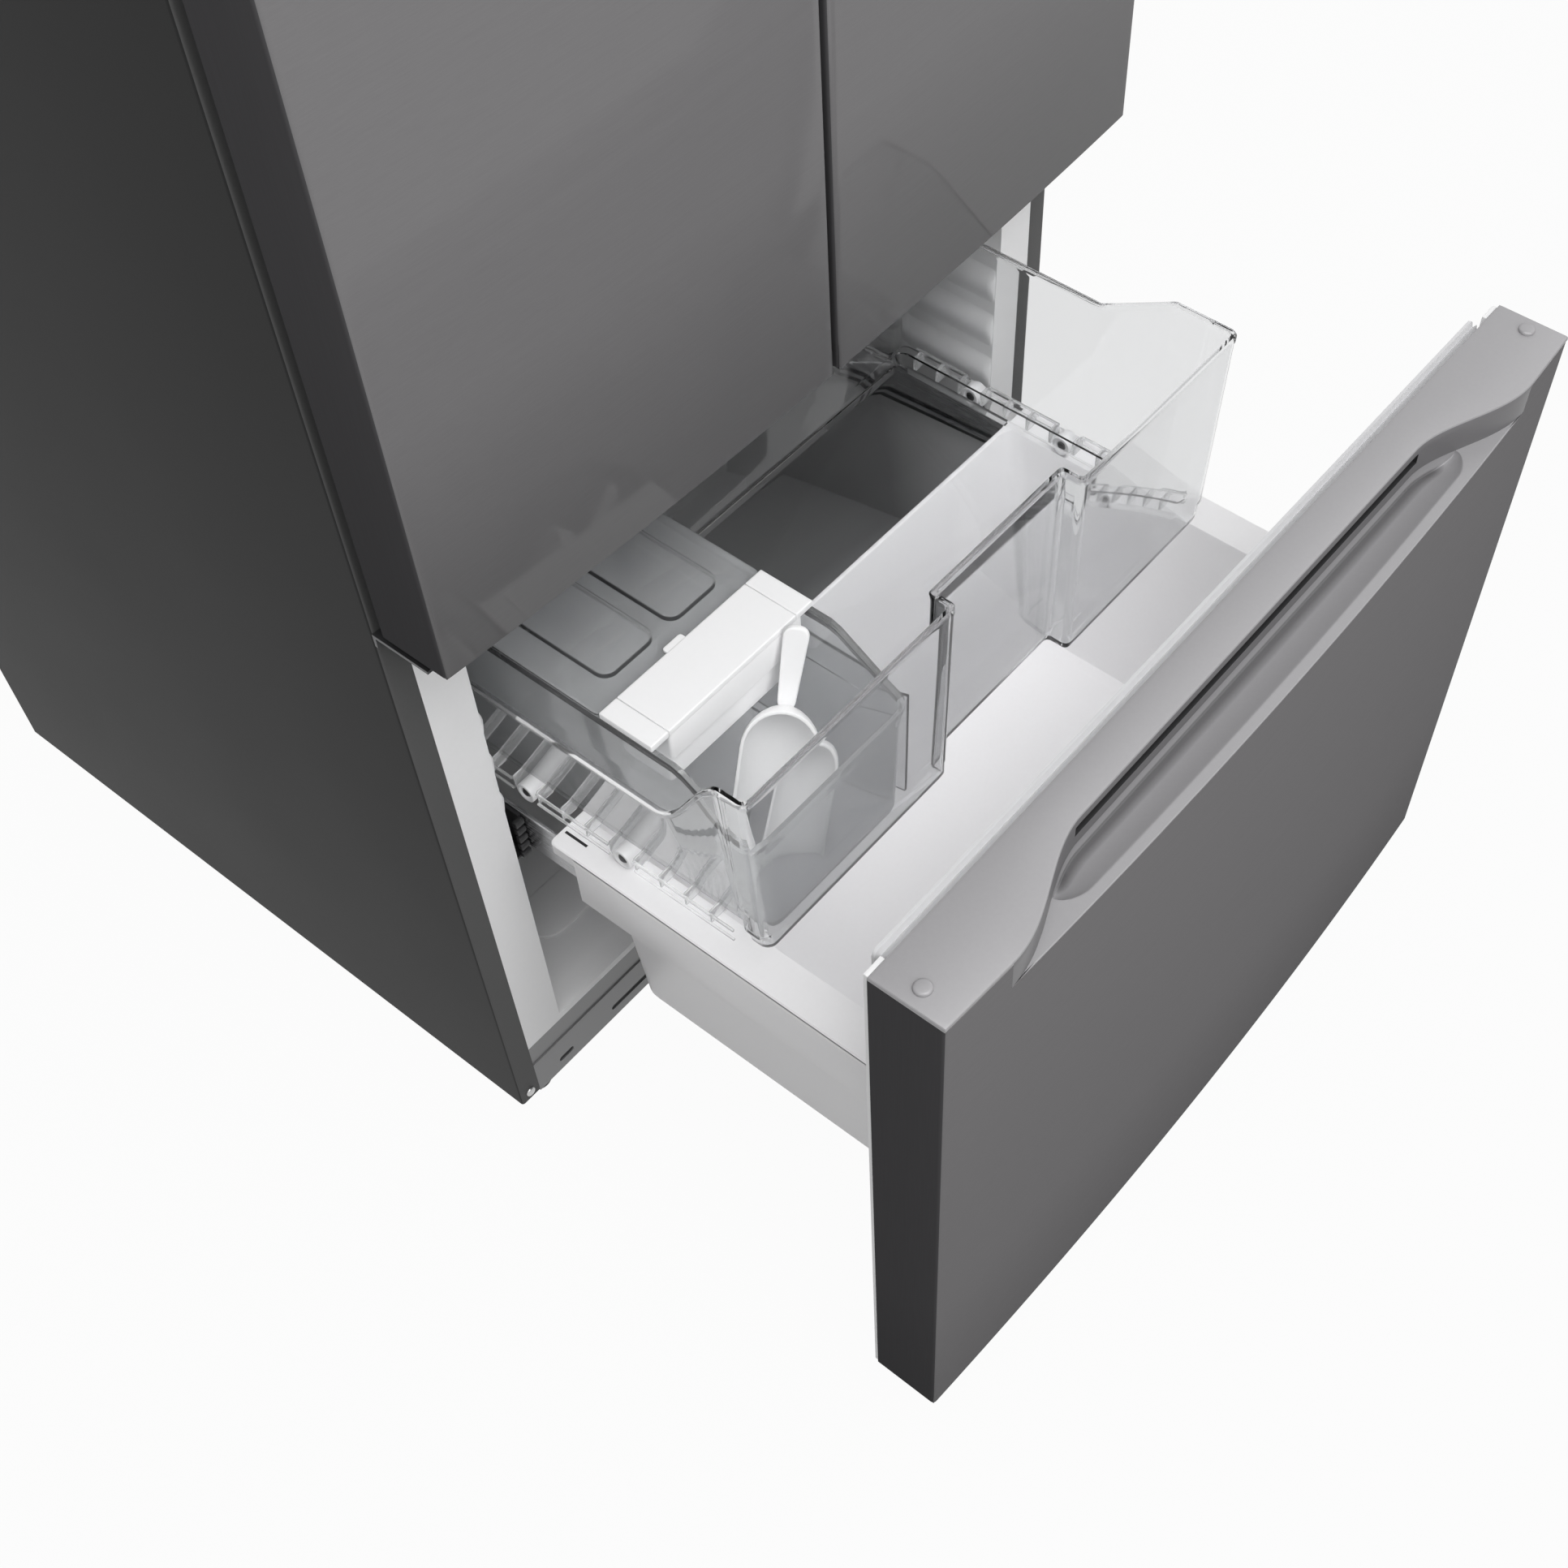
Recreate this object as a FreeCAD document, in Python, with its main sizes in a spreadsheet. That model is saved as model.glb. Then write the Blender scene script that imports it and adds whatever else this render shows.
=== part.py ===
import FreeCAD, Part
import os
import Sketcher

doc = FreeCAD.newDocument("Refrigerator")
sheet = doc.addObject("Spreadsheet::Sheet", "Sizes")

# Driving dimensions, in millimetres and degrees. Heights are measured from the cabinet's bottom edge,
# depths from the cabinet's front face, and widths from the middle of the cabinet.
SIZES = {
    # cabinet shell and its insulation
    "case_width": 836.0,
    "case_depth": 774.0,
    "case_height": 1737.0,
    "floor_gap": 16.0,
    "case_gauge": 1.0,
    "flange_width": 24.5,
    "side_wall": 70.0,
    "liner_gauge": 2.0,
    "tray_gauge": 2.0,
    # fresh-food compartment
    "fridge_floor": 748.0,
    "ceiling_drop": 65.0,
    "fridge_depth": 640.0,
    # freezer compartment, with the step over the machine space
    "freezer_floor": 88.0,
    "freezer_ceiling": 684.0,
    "freezer_depth": 690.0,
    "hump_top": 330.0,
    "hump_front": 440.0,
    "machine_top": 268.0,
    "machine_front": 500.0,
    # front rails
    "divider_low": 688.0,
    "divider_high": 742.0,
    "rail_top": 79.0,
    "rail_drop": 3.0,
    "rail_gauge": 2.0,
    "crease_height": 48.0,
    "crease_size": 1.5,
    "short_slot_inset": 66.0,
    "short_slot_length": 20.0,
    "long_slot_inset": 168.0,
    "long_slot_length": 70.0,
    "slot_width": 7.0,
    "slot_height": 14.0,
    # feet and rear wheels
    "foot_inset": 37.0,
    "foot_back": 20.0,
    "foot_radius": 15.0,
    "foot_height": 10.0,
    "stem_radius": 5.0,
    "running_fit": 0.06,
    "wheel_inset": 88.0,
    "wheel_from_rear": 45.0,
    "wheel_radius": 14.0,
    "wheel_width": 18.0,
    "axle_radius": 3.0,
    "wheel_room": 2.0,
    "ear_gauge": 4.0,
    "ear_half": 8.0,
    # doors and drawer front: one bowed front shared by all
    "door_gap": 14.0,
    "panel_depth": 64.4,
    "front_bow": 12.5,
    "skin_gauge": 1.0,
    "centre_gap": 6.0,
    "door_bottom": 720.6,
    "door_top_drop": 6.0,
    "cap_height": 24.0,
    "grip_inner": 60.0,
    "grip_from_side": 118.0,
    "grip_back": 26.0,
    "grip_width": 22.0,
    "grip_height": 16.0,
    "gasket_width": 16.0,
    "gasket_rest": 0.3,
    "door_gasket_inner": 44.0,
    "door_gasket_end": 22.0,
    "pad_gauge": 3.0,
    "pad_fit": 0.3,
    "dike_gauge": 14.0,
    "dike_inner": 76.0,
    "dike_from_side": 96.0,
    "dike_reach": 60.0,
    "dike_floor_gap": 22.0,
    "dike_top_gap": 22.0,
    "bin_reach": 85.0,
    "bin_gauge": 3.0,
    "bin_height": 110.0,
    "low_bin_lift": 90.0,
    "high_bin_lift": 40.0,
    # hinges
    "hinge_inset": 20.0,
    "hinge_ahead": 35.0,
    "pin_radius": 5.0,
    "pin_reach": 20.0,
    "plate_gauge": 3.0,
    "plate_half": 20.0,
    "plate_nose": 22.0,
    "top_plate_back": 70.0,
    "mid_plate_at": 712.0,
    "mid_leg_low": 702.0,
    "cover_height": 25.0,
    "cover_gauge": 3.0,
    "cover_margin": 4.0,
    # folding mullion
    "flap_pivot": 36.0,
    "flap_tip": 1.0,
    "flap_gauge": 10.0,
    "flap_seat": 0.4,
    "flap_end": 14.0,
    # freezer drawer front
    "drawer_out": 444.6,
    "drawer_bottom": 37.3,
    "drawer_top": 706.5,
    "drawer_cap": 48.0,
    "cap_edge": 3.0,
    "drawer_foot": 14.0,
    "drawer_gasket_side": 20.0,
    "drawer_gasket_top": 8.0,
    "drawer_gasket_low": 24.0,
    "plug_inset": 15.5,
    "plug_from_rear": 34.0,
    "plug_radius": 7.0,
    "plug_height": 1.5,
    # pocket handle in the drawer's top cap
    "pocket_from_side": 70.0,
    "shoulder_from_side": 183.0,
    "pocket_back": 33.5,
    "pocket_drop": 31.0,
    "trough_from_side": 196.0,
    "trough_width": 19.0,
    "trough_drop": 42.0,
    "ridge_radius": 5.0,
    # slides
    "slide_length": 420.0,
    "slide_front": 6.0,
    "slide_gauge": 3.0,
    "slide_foot_at": 343.0,
    "slide_foot_width": 18.0,
    "slide_web_top": 398.0,
    "slide_mid_gauge": 4.0,
    "slide_mid_low": 352.0,
    "slide_mid_top": 400.0,
    "slide_inner_gauge": 6.0,
    "slide_inner_low": 356.0,
    "slide_step": 0.5,
    # lower freezer bin
    "skirt_gap": 4.0,
    "tub_top_gap": 40.0,
    "tub_low_gap": 48.0,
    "rim_low": 351.0,
    "rim_top": 416.0,
    "tub_floor": 150.0,
    "tub_rear": 46.0,
    "tub_slant": 30.0,
    "tub_front_draft": 8.0,
    "tub_gauge": 3.0,
    "rim_roof": 3.5,
    # upper basket and its rollers
    "basket_front": 272.0,
    "basket_rear": 95.0,
    "basket_floor": 419.0,
    "basket_step": 440.0,
    "basket_low_gap": 43.0,
    "basket_step_gap": 27.0,
    "basket_top_gap": 19.0,
    "basket_high": 636.0,
    "basket_low_rim": 594.0,
    "ramp_rear": 125.0,
    "ramp_front": 202.0,
    "left_rim": 554.0,
    "left_ramp_rear": 178.0,
    "left_ramp_front": 246.0,
    "basket_flare": 4.0,
    "basket_gauge": 3.0,
    "recess_left": 75.0,
    "recess_right": 95.0,
    "recess_depth": 22.0,
    "rib_gauge": 2.5,
    "rib_pitch": 37.0,
    "roller_radius": 10.0,
    "roller_width": 10.0,
    "roller_rest": 0.3,
    "roller_rear_at": 1.0,
    "roller_front_at": 113.0,
    "divider_at": 116.0,
    "divider_gauge": 3.0,
    "divider_drop": 40.0,
    # ice bin
    "ice_gap": 50.0,
    "ice_right": 130.0,
    "ice_flare": 12.0,
    "ice_rear": 80.0,
    "ice_front": 252.0,
    "ice_top": 598.0,
    "ice_dip": 42.0,
    "ice_dip_at": 185.0,
    "ice_gauge": 2.5,
    "ice_bar_rear": 106.0,
    "ice_bar_front": 161.0,
    "ice_bar_drop": 56.0,
    "ice_bar_top": 7.0,
    "lid_gauge": 3.0,
    "lid_window_rise": 5.0,
    "lid_window_length": 120.0,
    "lid_window_width": 60.0,
    "lid_window_gap": 16.0,
    "lid_overlap": 3.0,
    "scoop_half": 30.0,
    "scoop_depth": 30.0,
    "scoop_length": 129.0,
    "scoop_gauge": 2.5,
    "scoop_handle": 67.0,
    "scoop_grip": 11.0,
    "scoop_x": 219.0,
    "scoop_y": 184.7,
    "scoop_lift": 1.2,
    "scoop_lean": 21.0,
    "scoop_lean_way": 12.0,
    "scoop_spin": 65.0,
    # fresh-food fittings
    "shelf_front": 120.0,
    "shelf_rear_gap": 30.0,
    "shelf_trim": 14.0,
    "shelf_glass": 4.0,
    "shelf_drop": 10.0,
    "crisper_cover_at": 998.0,
    "crisper_height": 225.0,
    "crisper_gauge": 3.0,
    "crisper_gap": 6.0,
    "crisper_front": 128.0,
    "crisper_rear_gap": 50.0,
    "crisper_side": 4.0,
    "duct_half": 70.0,
    "duct_gauge": 25.0,
    "duct_low": 900.0,
    "vent_half": 45.0,
    "vent_height": 10.0,
    "vent_depth": 8.0,
    "lamp_half": 60.0,
    "lamp_front": 200.0,
    "lamp_length": 120.0,
    "lamp_gauge": 12.0,
    # cooling parts
    "compressor_x": 215.0,
    "compressor_back": 636.0,
    "compressor_radius": 75.0,
    "compressor_height": 150.0,
    "compressor_round": 30.0,
    "compressor_foot_half": 95.0,
    "compressor_foot": 4.0,
    "fan_wall_x": 90.0,
    "fan_wall_gauge": 6.0,
    "fan_radius": 72.0,
    "fan_room": 8.0,
    "fan_hub": 18.0,
    "fan_width": 22.0,
    "fan_blade": 2.5,
    "fan_gap": 6.0,
    "fan_tilt": 35.0,
    "fan_bar_half": 9.0,
    "shaft_radius": 4.0,
    "condenser_left": 20.0,
    "condenser_length": 200.0,
    "condenser_front": 540.0,
    "condenser_rear": 740.0,
    "condenser_height": 150.0,
    "fin_gauge": 1.2,
    "fin_pitch": 10.0,
    "tube_radius": 4.0,
    "pan_left": 215.0,
    "pan_from_side": 18.0,
    "pan_front": 520.0,
    "pan_rear": 690.0,
    "pan_height": 40.0,
    "pan_gauge": 2.5,
    "cover_slot_low": 60.0,
    "gland_x": 320.0,
    "gland_height": 215.0,
    "gland_radius": 9.0,
    "gland_bore": 4.5,
    "gland_length": 12.0,
    "evaporator_half": 220.0,
    "evaporator_front": 626.0,
    "evaporator_low": 380.0,
    "evaporator_top": 540.0,
    "screen_front": 584.0,
    "screen_gauge": 6.0,
    "screen_fan_at": 608.0,
    "screen_fan_radius": 48.0,
}

BLADES = 5
VENTS = 4
RIBS = 9
TUBES = 4


class Size:
    """A number that also carries the sheet expression it comes from."""

    def __init__(self, value, text):
        self.value = value
        self.text = text

    def joined(self, other, sign, result):
        return Size(result, f"({self.text} {sign} {text_of(other)})")

    def __add__(self, other):
        return self.joined(other, "+", self.value + value_of(other))

    def __sub__(self, other):
        return self.joined(other, "-", self.value - value_of(other))

    def __mul__(self, other):
        return self.joined(other, "*", self.value * value_of(other))

    def __truediv__(self, other):
        return self.joined(other, "/", self.value / value_of(other))

    def __neg__(self):
        return Size(-self.value, f"(0 - {self.text})")


def value_of(size):
    return size.value if isinstance(size, Size) else size


def text_of(size):
    return size.text if isinstance(size, Size) else repr(size)


class Dimensions:
    """The sheet's cells, each read by its alias."""


d = Dimensions()
for row, (alias, number) in enumerate(SIZES.items(), start=1):
    sheet.set(f"A{row}", alias)
    sheet.set(f"B{row}", str(number))
    sheet.setAlias(f"B{row}", alias)
    setattr(d, alias, Size(number, f"Sizes.{alias}"))
doc.recompute()

nodes = []
X_AXIS = FreeCAD.Vector(1, 0, 0)
Y_AXIS = FreeCAD.Vector(0, 1, 0)
Z_AXIS = FreeCAD.Vector(0, 0, 1)
QUARTER = 90
TURN = 360
ALONG = {
    "X": FreeCAD.Rotation(Y_AXIS, QUARTER),
    "Y": FreeCAD.Rotation(X_AXIS, -QUARTER),
    "Z": FreeCAD.Rotation(),
}


def bind(item, prop, size):
    item.setExpression(prop, text_of(size))


def seat(item, x, y, z):
    bind(item, "Placement.Base.x", x)
    bind(item, "Placement.Base.y", y)
    bind(item, "Placement.Base.z", z)


def box(name, x, y, z):
    """A block between two values on each axis."""
    block = doc.addObject("Part::Box", name)
    bind(block, "Length", x[1] - x[0])
    bind(block, "Width", y[1] - y[0])
    bind(block, "Height", z[1] - z[0])
    seat(block, x[0], y[0], z[0])
    return block


def rod(name, axis, place, radius, length):
    """A round bar along an axis, from its start point."""
    bar = doc.addObject("Part::Cylinder", name)
    bar.Placement = FreeCAD.Placement(FreeCAD.Vector(), ALONG[axis])
    bind(bar, "Radius", radius)
    bind(bar, "Height", length)
    seat(bar, *place)
    return bar


def tapered(name, low, low_x, low_y, top, top_x, top_y):
    """A block whose lower and upper rectangles differ, as a moulded tub's do."""
    tub = doc.addObject("Part::Wedge", name)
    tub.Placement = FreeCAD.Placement(FreeCAD.Vector(), FreeCAD.Rotation(X_AXIS, QUARTER))
    limits = {
        "Ymin": low, "Ymax": top,
        "Xmin": low_x[0], "Xmax": low_x[1], "X2min": top_x[0], "X2max": top_x[1],
        "Zmin": -low_y[1], "Zmax": -low_y[0], "Z2min": -top_y[1], "Z2max": -top_y[0],
    }
    for prop, size in limits.items():
        bind(tub, prop, size)
    return tub


def cut(name, base, *tools):
    for index, tool in enumerate(tools):
        result = doc.addObject("Part::Cut", f"{name}_{index}")
        result.Base = base
        result.Tool = tool
        base = result
    return base


def fuse(name, *shapes):
    result = doc.addObject("Part::MultiFuse", name)
    result.Shapes = list(shapes)
    return result


def common(name, base, tool):
    result = doc.addObject("Part::Common", name)
    result.Base = base
    result.Tool = tool
    return result


def group(name, *shapes):
    result = doc.addObject("Part::Compound", name)
    result.Links = list(shapes)
    return result


def pad(name, plane, outline, low, high):
    """A profile drawn on an origin plane and padded between two values along the plane's normal."""
    body = doc.addObject("PartDesign::Body", name)
    profile = body.newObject("Sketcher::SketchObject", f"{name}_profile")
    support = [item for item in body.Origin.OriginFeatures if item.Role == f"{plane}_Plane"][0]
    profile.AttachmentSupport = [(support, "")]
    profile.MapMode = "FlatFace"
    bind(profile, "AttachmentOffset.Base.z", low)
    points = [FreeCAD.Vector(value_of(across), value_of(up), 0) for across, up in outline]
    count = len(points)
    for index in range(count):
        profile.addGeometry(Part.LineSegment(points[index], points[(index + 1) % count]), False)
    for index in range(count):
        profile.addConstraint(Sketcher.Constraint("Coincident", index, 2, (index + 1) % count, 1))
    for index, (across, up) in enumerate(outline):
        for kind, size in (("DistanceX", across), ("DistanceY", up)):
            number = profile.addConstraint(Sketcher.Constraint(kind, -1, 1, index, 1, value_of(size)))
            profile.setExpression(f"Constraints[{number}]", text_of(size))
    lift = body.newObject("PartDesign::Pad", f"{name}_pad")
    lift.Profile = profile
    bind(lift, "Length", high - low)
    body.Tip = lift
    return body


def node(label, item):
    item.Label = label
    nodes.append(item)
    return item


def side_span(sign, inner, outer):
    """A span between two distances from the middle, on the left (-1) or the right (1)."""
    return (inner, outer) if sign > 0 else (-outer, -inner)


def both_sides(name, make):
    """One group of a left and a right piece."""
    return group(name, make(f"{name}_left", -1), make(f"{name}_right", 1))


# Frame: X to the right, Y to the back, Z up. The origin lies on the floor, under the middle of the
# refrigerator with its drawer pulled out as in use.
half = d.case_width / 2
face = (d.door_gap + d.drawer_out + d.panel_depth + d.front_bow - d.case_depth) / 2
base = d.floor_gap
roof = base + d.case_height
rear = face + d.case_depth
cavity = half - d.side_wall
frame_half = half - d.flange_width
tray_top = base + d.tray_gauge
fridge_ceiling = d.case_height - d.ceiling_drop
ZERO = d.case_width * 0


def depth(size):
    return face + size


def height(size):
    return base + size


# Outer case: one folded steel wrapper with a flange turned in round the front
shell_block = box("case_block", (-half, half), (face, rear), (base, roof))
shell_room = box(
    "case_room",
    (d.case_gauge - half, half - d.case_gauge),
    (depth(d.case_gauge), rear + d.case_gauge),
    (base - d.case_gauge, roof - d.case_gauge),
)
shell_mouth = box(
    "case_mouth",
    (-frame_half, frame_half),
    (face - d.case_gauge, depth(d.case_gauge)),
    (base - d.case_gauge, roof - d.flange_width),
)
node("outer_case", cut("case_cut", shell_block, shell_room, shell_mouth))

inner_half = half - d.case_gauge
node("back_panel", box(
    "back_sheet",
    (-inner_half, inner_half),
    (rear - d.case_gauge, rear),
    (height(d.machine_top), roof - d.case_gauge),
))

# Insulation, foamed in between the case and the two liners
liner_half = cavity + d.liner_gauge
foam_block = box(
    "foam_block",
    (-inner_half, inner_half),
    (depth(d.liner_gauge), rear - d.case_gauge),
    (tray_top, roof - d.case_gauge),
)
fridge_outer = box(
    "fridge_outer",
    (-liner_half, liner_half),
    (face, depth(d.fridge_depth + d.liner_gauge)),
    (height(d.fridge_floor - d.liner_gauge), height(fridge_ceiling + d.liner_gauge)),
)
freezer_outer_high = box(
    "freezer_outer_high",
    (-liner_half, liner_half),
    (face, depth(d.freezer_depth + d.liner_gauge)),
    (height(d.hump_top - d.liner_gauge), height(d.freezer_ceiling + d.liner_gauge)),
)
freezer_outer_low = box(
    "freezer_outer_low",
    (-liner_half, liner_half),
    (face, depth(d.hump_front + d.liner_gauge)),
    (height(d.freezer_floor - d.liner_gauge), height(d.hump_top)),
)
freezer_outer = fuse("freezer_outer", freezer_outer_high, freezer_outer_low)
machine_space = box(
    "machine_space",
    (-half, half),
    (depth(d.machine_front), rear),
    (base, height(d.machine_top)),
)
node("foam_body", cut("foam_cut", foam_block, fridge_outer, freezer_outer, machine_space))

# Liners: white vacuum-formed tubs, each with a flat lip round its mouth
fridge_lip = box(
    "fridge_lip",
    (-frame_half, frame_half),
    (face, depth(d.liner_gauge)),
    (height(d.divider_high), roof - d.flange_width),
)
fridge_space = box(
    "fridge_space",
    (-cavity, cavity),
    (face - d.liner_gauge, depth(d.fridge_depth)),
    (height(d.fridge_floor), height(fridge_ceiling)),
)
node("fridge_liner", cut("fridge_liner_cut", fuse("fridge_tub", fridge_outer, fridge_lip), fridge_space))

freezer_lip = box(
    "freezer_lip",
    (-frame_half, frame_half),
    (face, depth(d.liner_gauge)),
    (height(d.rail_top), height(d.divider_low)),
)
freezer_space_high = box(
    "freezer_space_high",
    (-cavity, cavity),
    (face - d.liner_gauge, depth(d.freezer_depth)),
    (height(d.hump_top), height(d.freezer_ceiling)),
)
freezer_space_low = box(
    "freezer_space_low",
    (-cavity, cavity),
    (face - d.liner_gauge, depth(d.hump_front)),
    (height(d.freezer_floor), height(d.hump_top)),
)
freezer_tub = fuse("freezer_tub", freezer_outer, freezer_lip)
node("freezer_liner", cut("freezer_liner_cut", freezer_tub, freezer_space_high, freezer_space_low))

# Front rails: a steel strip between the compartments and a slotted rail under the freezer
node("divider_rail", box(
    "divider_strip",
    (-frame_half, frame_half),
    (face, depth(d.liner_gauge)),
    (height(d.divider_low), height(d.divider_high)),
))


def slot(name, middle, length):
    """A long round-ended hole through the base rail."""
    run = (length - d.slot_width) / 2
    start = face - d.rail_gauge
    reach = d.rail_gauge * 3
    level = height(d.slot_height)
    radius = d.slot_width / 2
    bar = box(name, (middle - run, middle + run), (start, start + reach), (level - radius, level + radius))
    ends = [
        rod(f"{name}_end_{sign}", "Y", (middle + run * sign, start, level), radius, reach)
        for sign in (-1, 1)
    ]
    return fuse(f"{name}_hole", bar, *ends)


rail_plate = box(
    "rail_plate",
    (-frame_half, frame_half),
    (face, depth(d.rail_gauge)),
    (height(-d.rail_drop), height(d.rail_top)),
)
rail_crease = box(
    "rail_crease",
    (-frame_half, frame_half),
    (face - d.crease_size, face),
    (height(d.crease_height), height(d.crease_height + d.crease_size)),
)
rail_slots = [
    slot(f"rail_slot_{kind}_{index}", (half - inset) * sign, length)
    for kind, inset, length in (
        ("short", d.short_slot_inset, d.short_slot_length),
        ("long", d.long_slot_inset, d.long_slot_length),
    )
    for index, sign in enumerate((-1, 1))
]
node("base_rail", cut("base_rail_cut", fuse("rail_sheet", rail_plate, rail_crease), *rail_slots))

# Base tray, which carries the machine and holds the feet and the rear wheels
foot_at = half - d.foot_inset
wheel_at = half - d.wheel_inset
wheel_y = rear - d.wheel_from_rear
tray_sheet = box(
    "tray_sheet",
    (-inner_half, inner_half),
    (depth(d.rail_gauge), rear - d.case_gauge),
    (base, tray_top),
)
wheel_ears = []
tray_holes = []
for index, sign in enumerate((-1, 1)):
    ear_inner = wheel_at - d.wheel_width / 2 - d.wheel_room - d.ear_gauge
    wheel_ears.append(box(
        f"wheel_ear_{index}",
        side_span(sign, ear_inner, ear_inner + d.ear_gauge),
        (wheel_y - d.ear_half, wheel_y + d.ear_half),
        (d.wheel_radius - d.ear_half, tray_top),
    ))
    axle_span = side_span(sign, ear_inner, wheel_at + d.wheel_width / 2)
    wheel_ears.append(rod(
        f"wheel_axle_{index}", "X", (axle_span[0], wheel_y, d.wheel_radius),
        d.axle_radius, axle_span[1] - axle_span[0],
    ))
    wheel_reach = d.wheel_radius + d.wheel_room
    tray_holes.append(box(
        f"wheel_hole_{index}",
        side_span(sign, ear_inner + d.ear_gauge, wheel_at + d.wheel_width / 2 + d.wheel_room),
        (wheel_y - wheel_reach, wheel_y + wheel_reach),
        (base - d.tray_gauge, tray_top + d.tray_gauge),
    ))
    tray_holes.append(rod(
        f"stem_hole_{index}", "Z", (foot_at * sign, depth(d.foot_back), base - d.tray_gauge),
        d.stem_radius + d.running_fit, d.tray_gauge * 3,
    ))
node("base_tray", fuse("tray_with_ears", cut("tray_cut", tray_sheet, *tray_holes), *wheel_ears))

for side, sign in (("left", -1), ("right", 1)):
    foot_x = foot_at * sign
    foot_pad = rod(f"foot_pad_{side}", "Z", (foot_x, depth(d.foot_back), ZERO), d.foot_radius, d.foot_height)
    foot_stem = rod(f"foot_stem_{side}", "Z", (foot_x, depth(d.foot_back), ZERO), d.stem_radius, tray_top)
    node(f"front_foot_{side}", fuse(f"foot_{side}", foot_pad, foot_stem))


def rear_wheel(name, sign):
    span = side_span(sign, wheel_at - d.wheel_width / 2, wheel_at + d.wheel_width / 2)
    place = (span[0], wheel_y, d.wheel_radius)
    tyre = rod(name, "X", place, d.wheel_radius, d.wheel_width)
    bore = rod(f"{name}_bore", "X", place, d.axle_radius + d.running_fit, d.wheel_width)
    return cut(f"{name}_turned", tyre, bore)


node("rear_wheels", both_sides("rear_wheel", rear_wheel))

# Machine space: compressor, fan, condenser, drain pan and the slotted cover behind them
can = rod(
    "compressor_can", "Z", (-d.compressor_x, depth(d.compressor_back), tray_top),
    d.compressor_radius, d.compressor_height,
)
doc.recompute()
can_round = doc.addObject("Part::Fillet", "compressor_dome")
can_round.Base = can
top_edges = [
    index + 1 for index, edge in enumerate(can.Shape.Edges)
    if edge.BoundBox.ZMin > can.Shape.BoundBox.ZMax - d.case_gauge.value
]
can_round.Edges = [(index, d.compressor_round.value, d.compressor_round.value) for index in top_edges]
can_foot = box(
    "compressor_foot",
    (-d.compressor_x - d.compressor_foot_half, d.compressor_foot_half - d.compressor_x),
    (depth(d.compressor_back - d.compressor_radius), depth(d.compressor_back + d.compressor_radius)),
    (tray_top, tray_top + d.compressor_foot),
)
node("compressor", fuse("compressor_body", can_round, can_foot))


def fan_rotor(name, radius, axis, place):
    """A moulded fan: a hub on its shaft and tilted blades round it."""
    hub = rod(f"{name}_hub", "Z", (ZERO, ZERO, ZERO), d.fan_hub, d.fan_width)
    bore = rod(f"{name}_bore", "Z", (ZERO, ZERO, ZERO), d.shaft_radius + d.running_fit, d.fan_width)
    blades = []
    for index in range(BLADES):
        blade = doc.addObject("Part::Box", f"{name}_blade_{index}")
        bind(blade, "Length", radius - d.shaft_radius * 2)
        bind(blade, "Width", d.fan_width)
        bind(blade, "Height", d.fan_blade)
        turn = FreeCAD.Rotation(Z_AXIS, TURN / BLADES * index)
        tilt = FreeCAD.Rotation(X_AXIS, d.fan_tilt.value)
        middle = FreeCAD.Vector(0, d.fan_width.value / 2, d.fan_blade.value / 2)
        root = FreeCAD.Vector(2 * d.shaft_radius.value, 0, d.fan_width.value / 2)
        spot = turn.multVec(root - tilt.multVec(middle))
        blade.Placement = FreeCAD.Placement(spot, turn.multiply(tilt))
        blades.append(blade)
    rotor = cut(f"{name}_rotor", fuse(f"{name}_wheel", hub, *blades), bore)
    rotor.Placement = FreeCAD.Placement(FreeCAD.Vector(), ALONG[axis])
    seat(rotor, *place)
    return rotor


fan_y = depth((d.machine_front + d.case_depth) / 2)
fan_z = tray_top + d.fan_radius + d.fan_room * 2
wall_x = -d.fan_wall_x
shaft_reach = d.fan_wall_gauge + d.fan_gap + d.fan_width
fan_wall = box(
    "fan_wall",
    (wall_x, wall_x + d.fan_wall_gauge),
    (depth(d.machine_front + d.fan_room), rear - d.fan_room),
    (tray_top, fan_z + d.fan_radius + d.fan_room * 2),
)
fan_mouth = rod("fan_mouth", "X", (wall_x, fan_y, fan_z), d.fan_radius + d.fan_room / 2, d.fan_wall_gauge)
fan_bar = box(
    "fan_bar",
    (wall_x, wall_x + d.fan_wall_gauge),
    (depth(d.machine_front + d.fan_room), rear - d.fan_room),
    (fan_z - d.fan_bar_half, fan_z + d.fan_bar_half),
)
fan_shaft = rod("fan_shaft", "X", (wall_x, fan_y, fan_z), d.shaft_radius, shaft_reach)
node("condenser_fan_frame", fuse("fan_holder", cut("fan_wall_cut", fan_wall, fan_mouth), fan_bar, fan_shaft))
node("condenser_fan", fan_rotor(
    "condenser_rotor", d.fan_radius, "X", (wall_x + d.fan_wall_gauge + d.fan_gap, fan_y, fan_z),
))


def fin_block(name, left, right, front, back, low, top):
    """Upright fins on level tubes, as in a tube-and-fin coil."""
    count = int((right.value - left.value) // d.fin_pitch.value)
    fins = [
        box(
            f"{name}_fin_{index}",
            (left + d.fin_pitch * index, left + d.fin_pitch * index + d.fin_gauge),
            (front, back),
            (low, top),
        )
        for index in range(count + 1)
    ]
    quarter = (back - front) / 4
    rows = (front + quarter, back - quarter)
    rise = (top - low) / (TUBES + 1)
    tubes = [
        rod(
            f"{name}_tube_{index}", "X", (left, rows[index % 2], low + rise * (index + 1)),
            d.tube_radius, d.fin_pitch * count + d.fin_gauge,
        )
        for index in range(TUBES)
    ]
    return fuse(name, *fins, *tubes)


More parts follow.
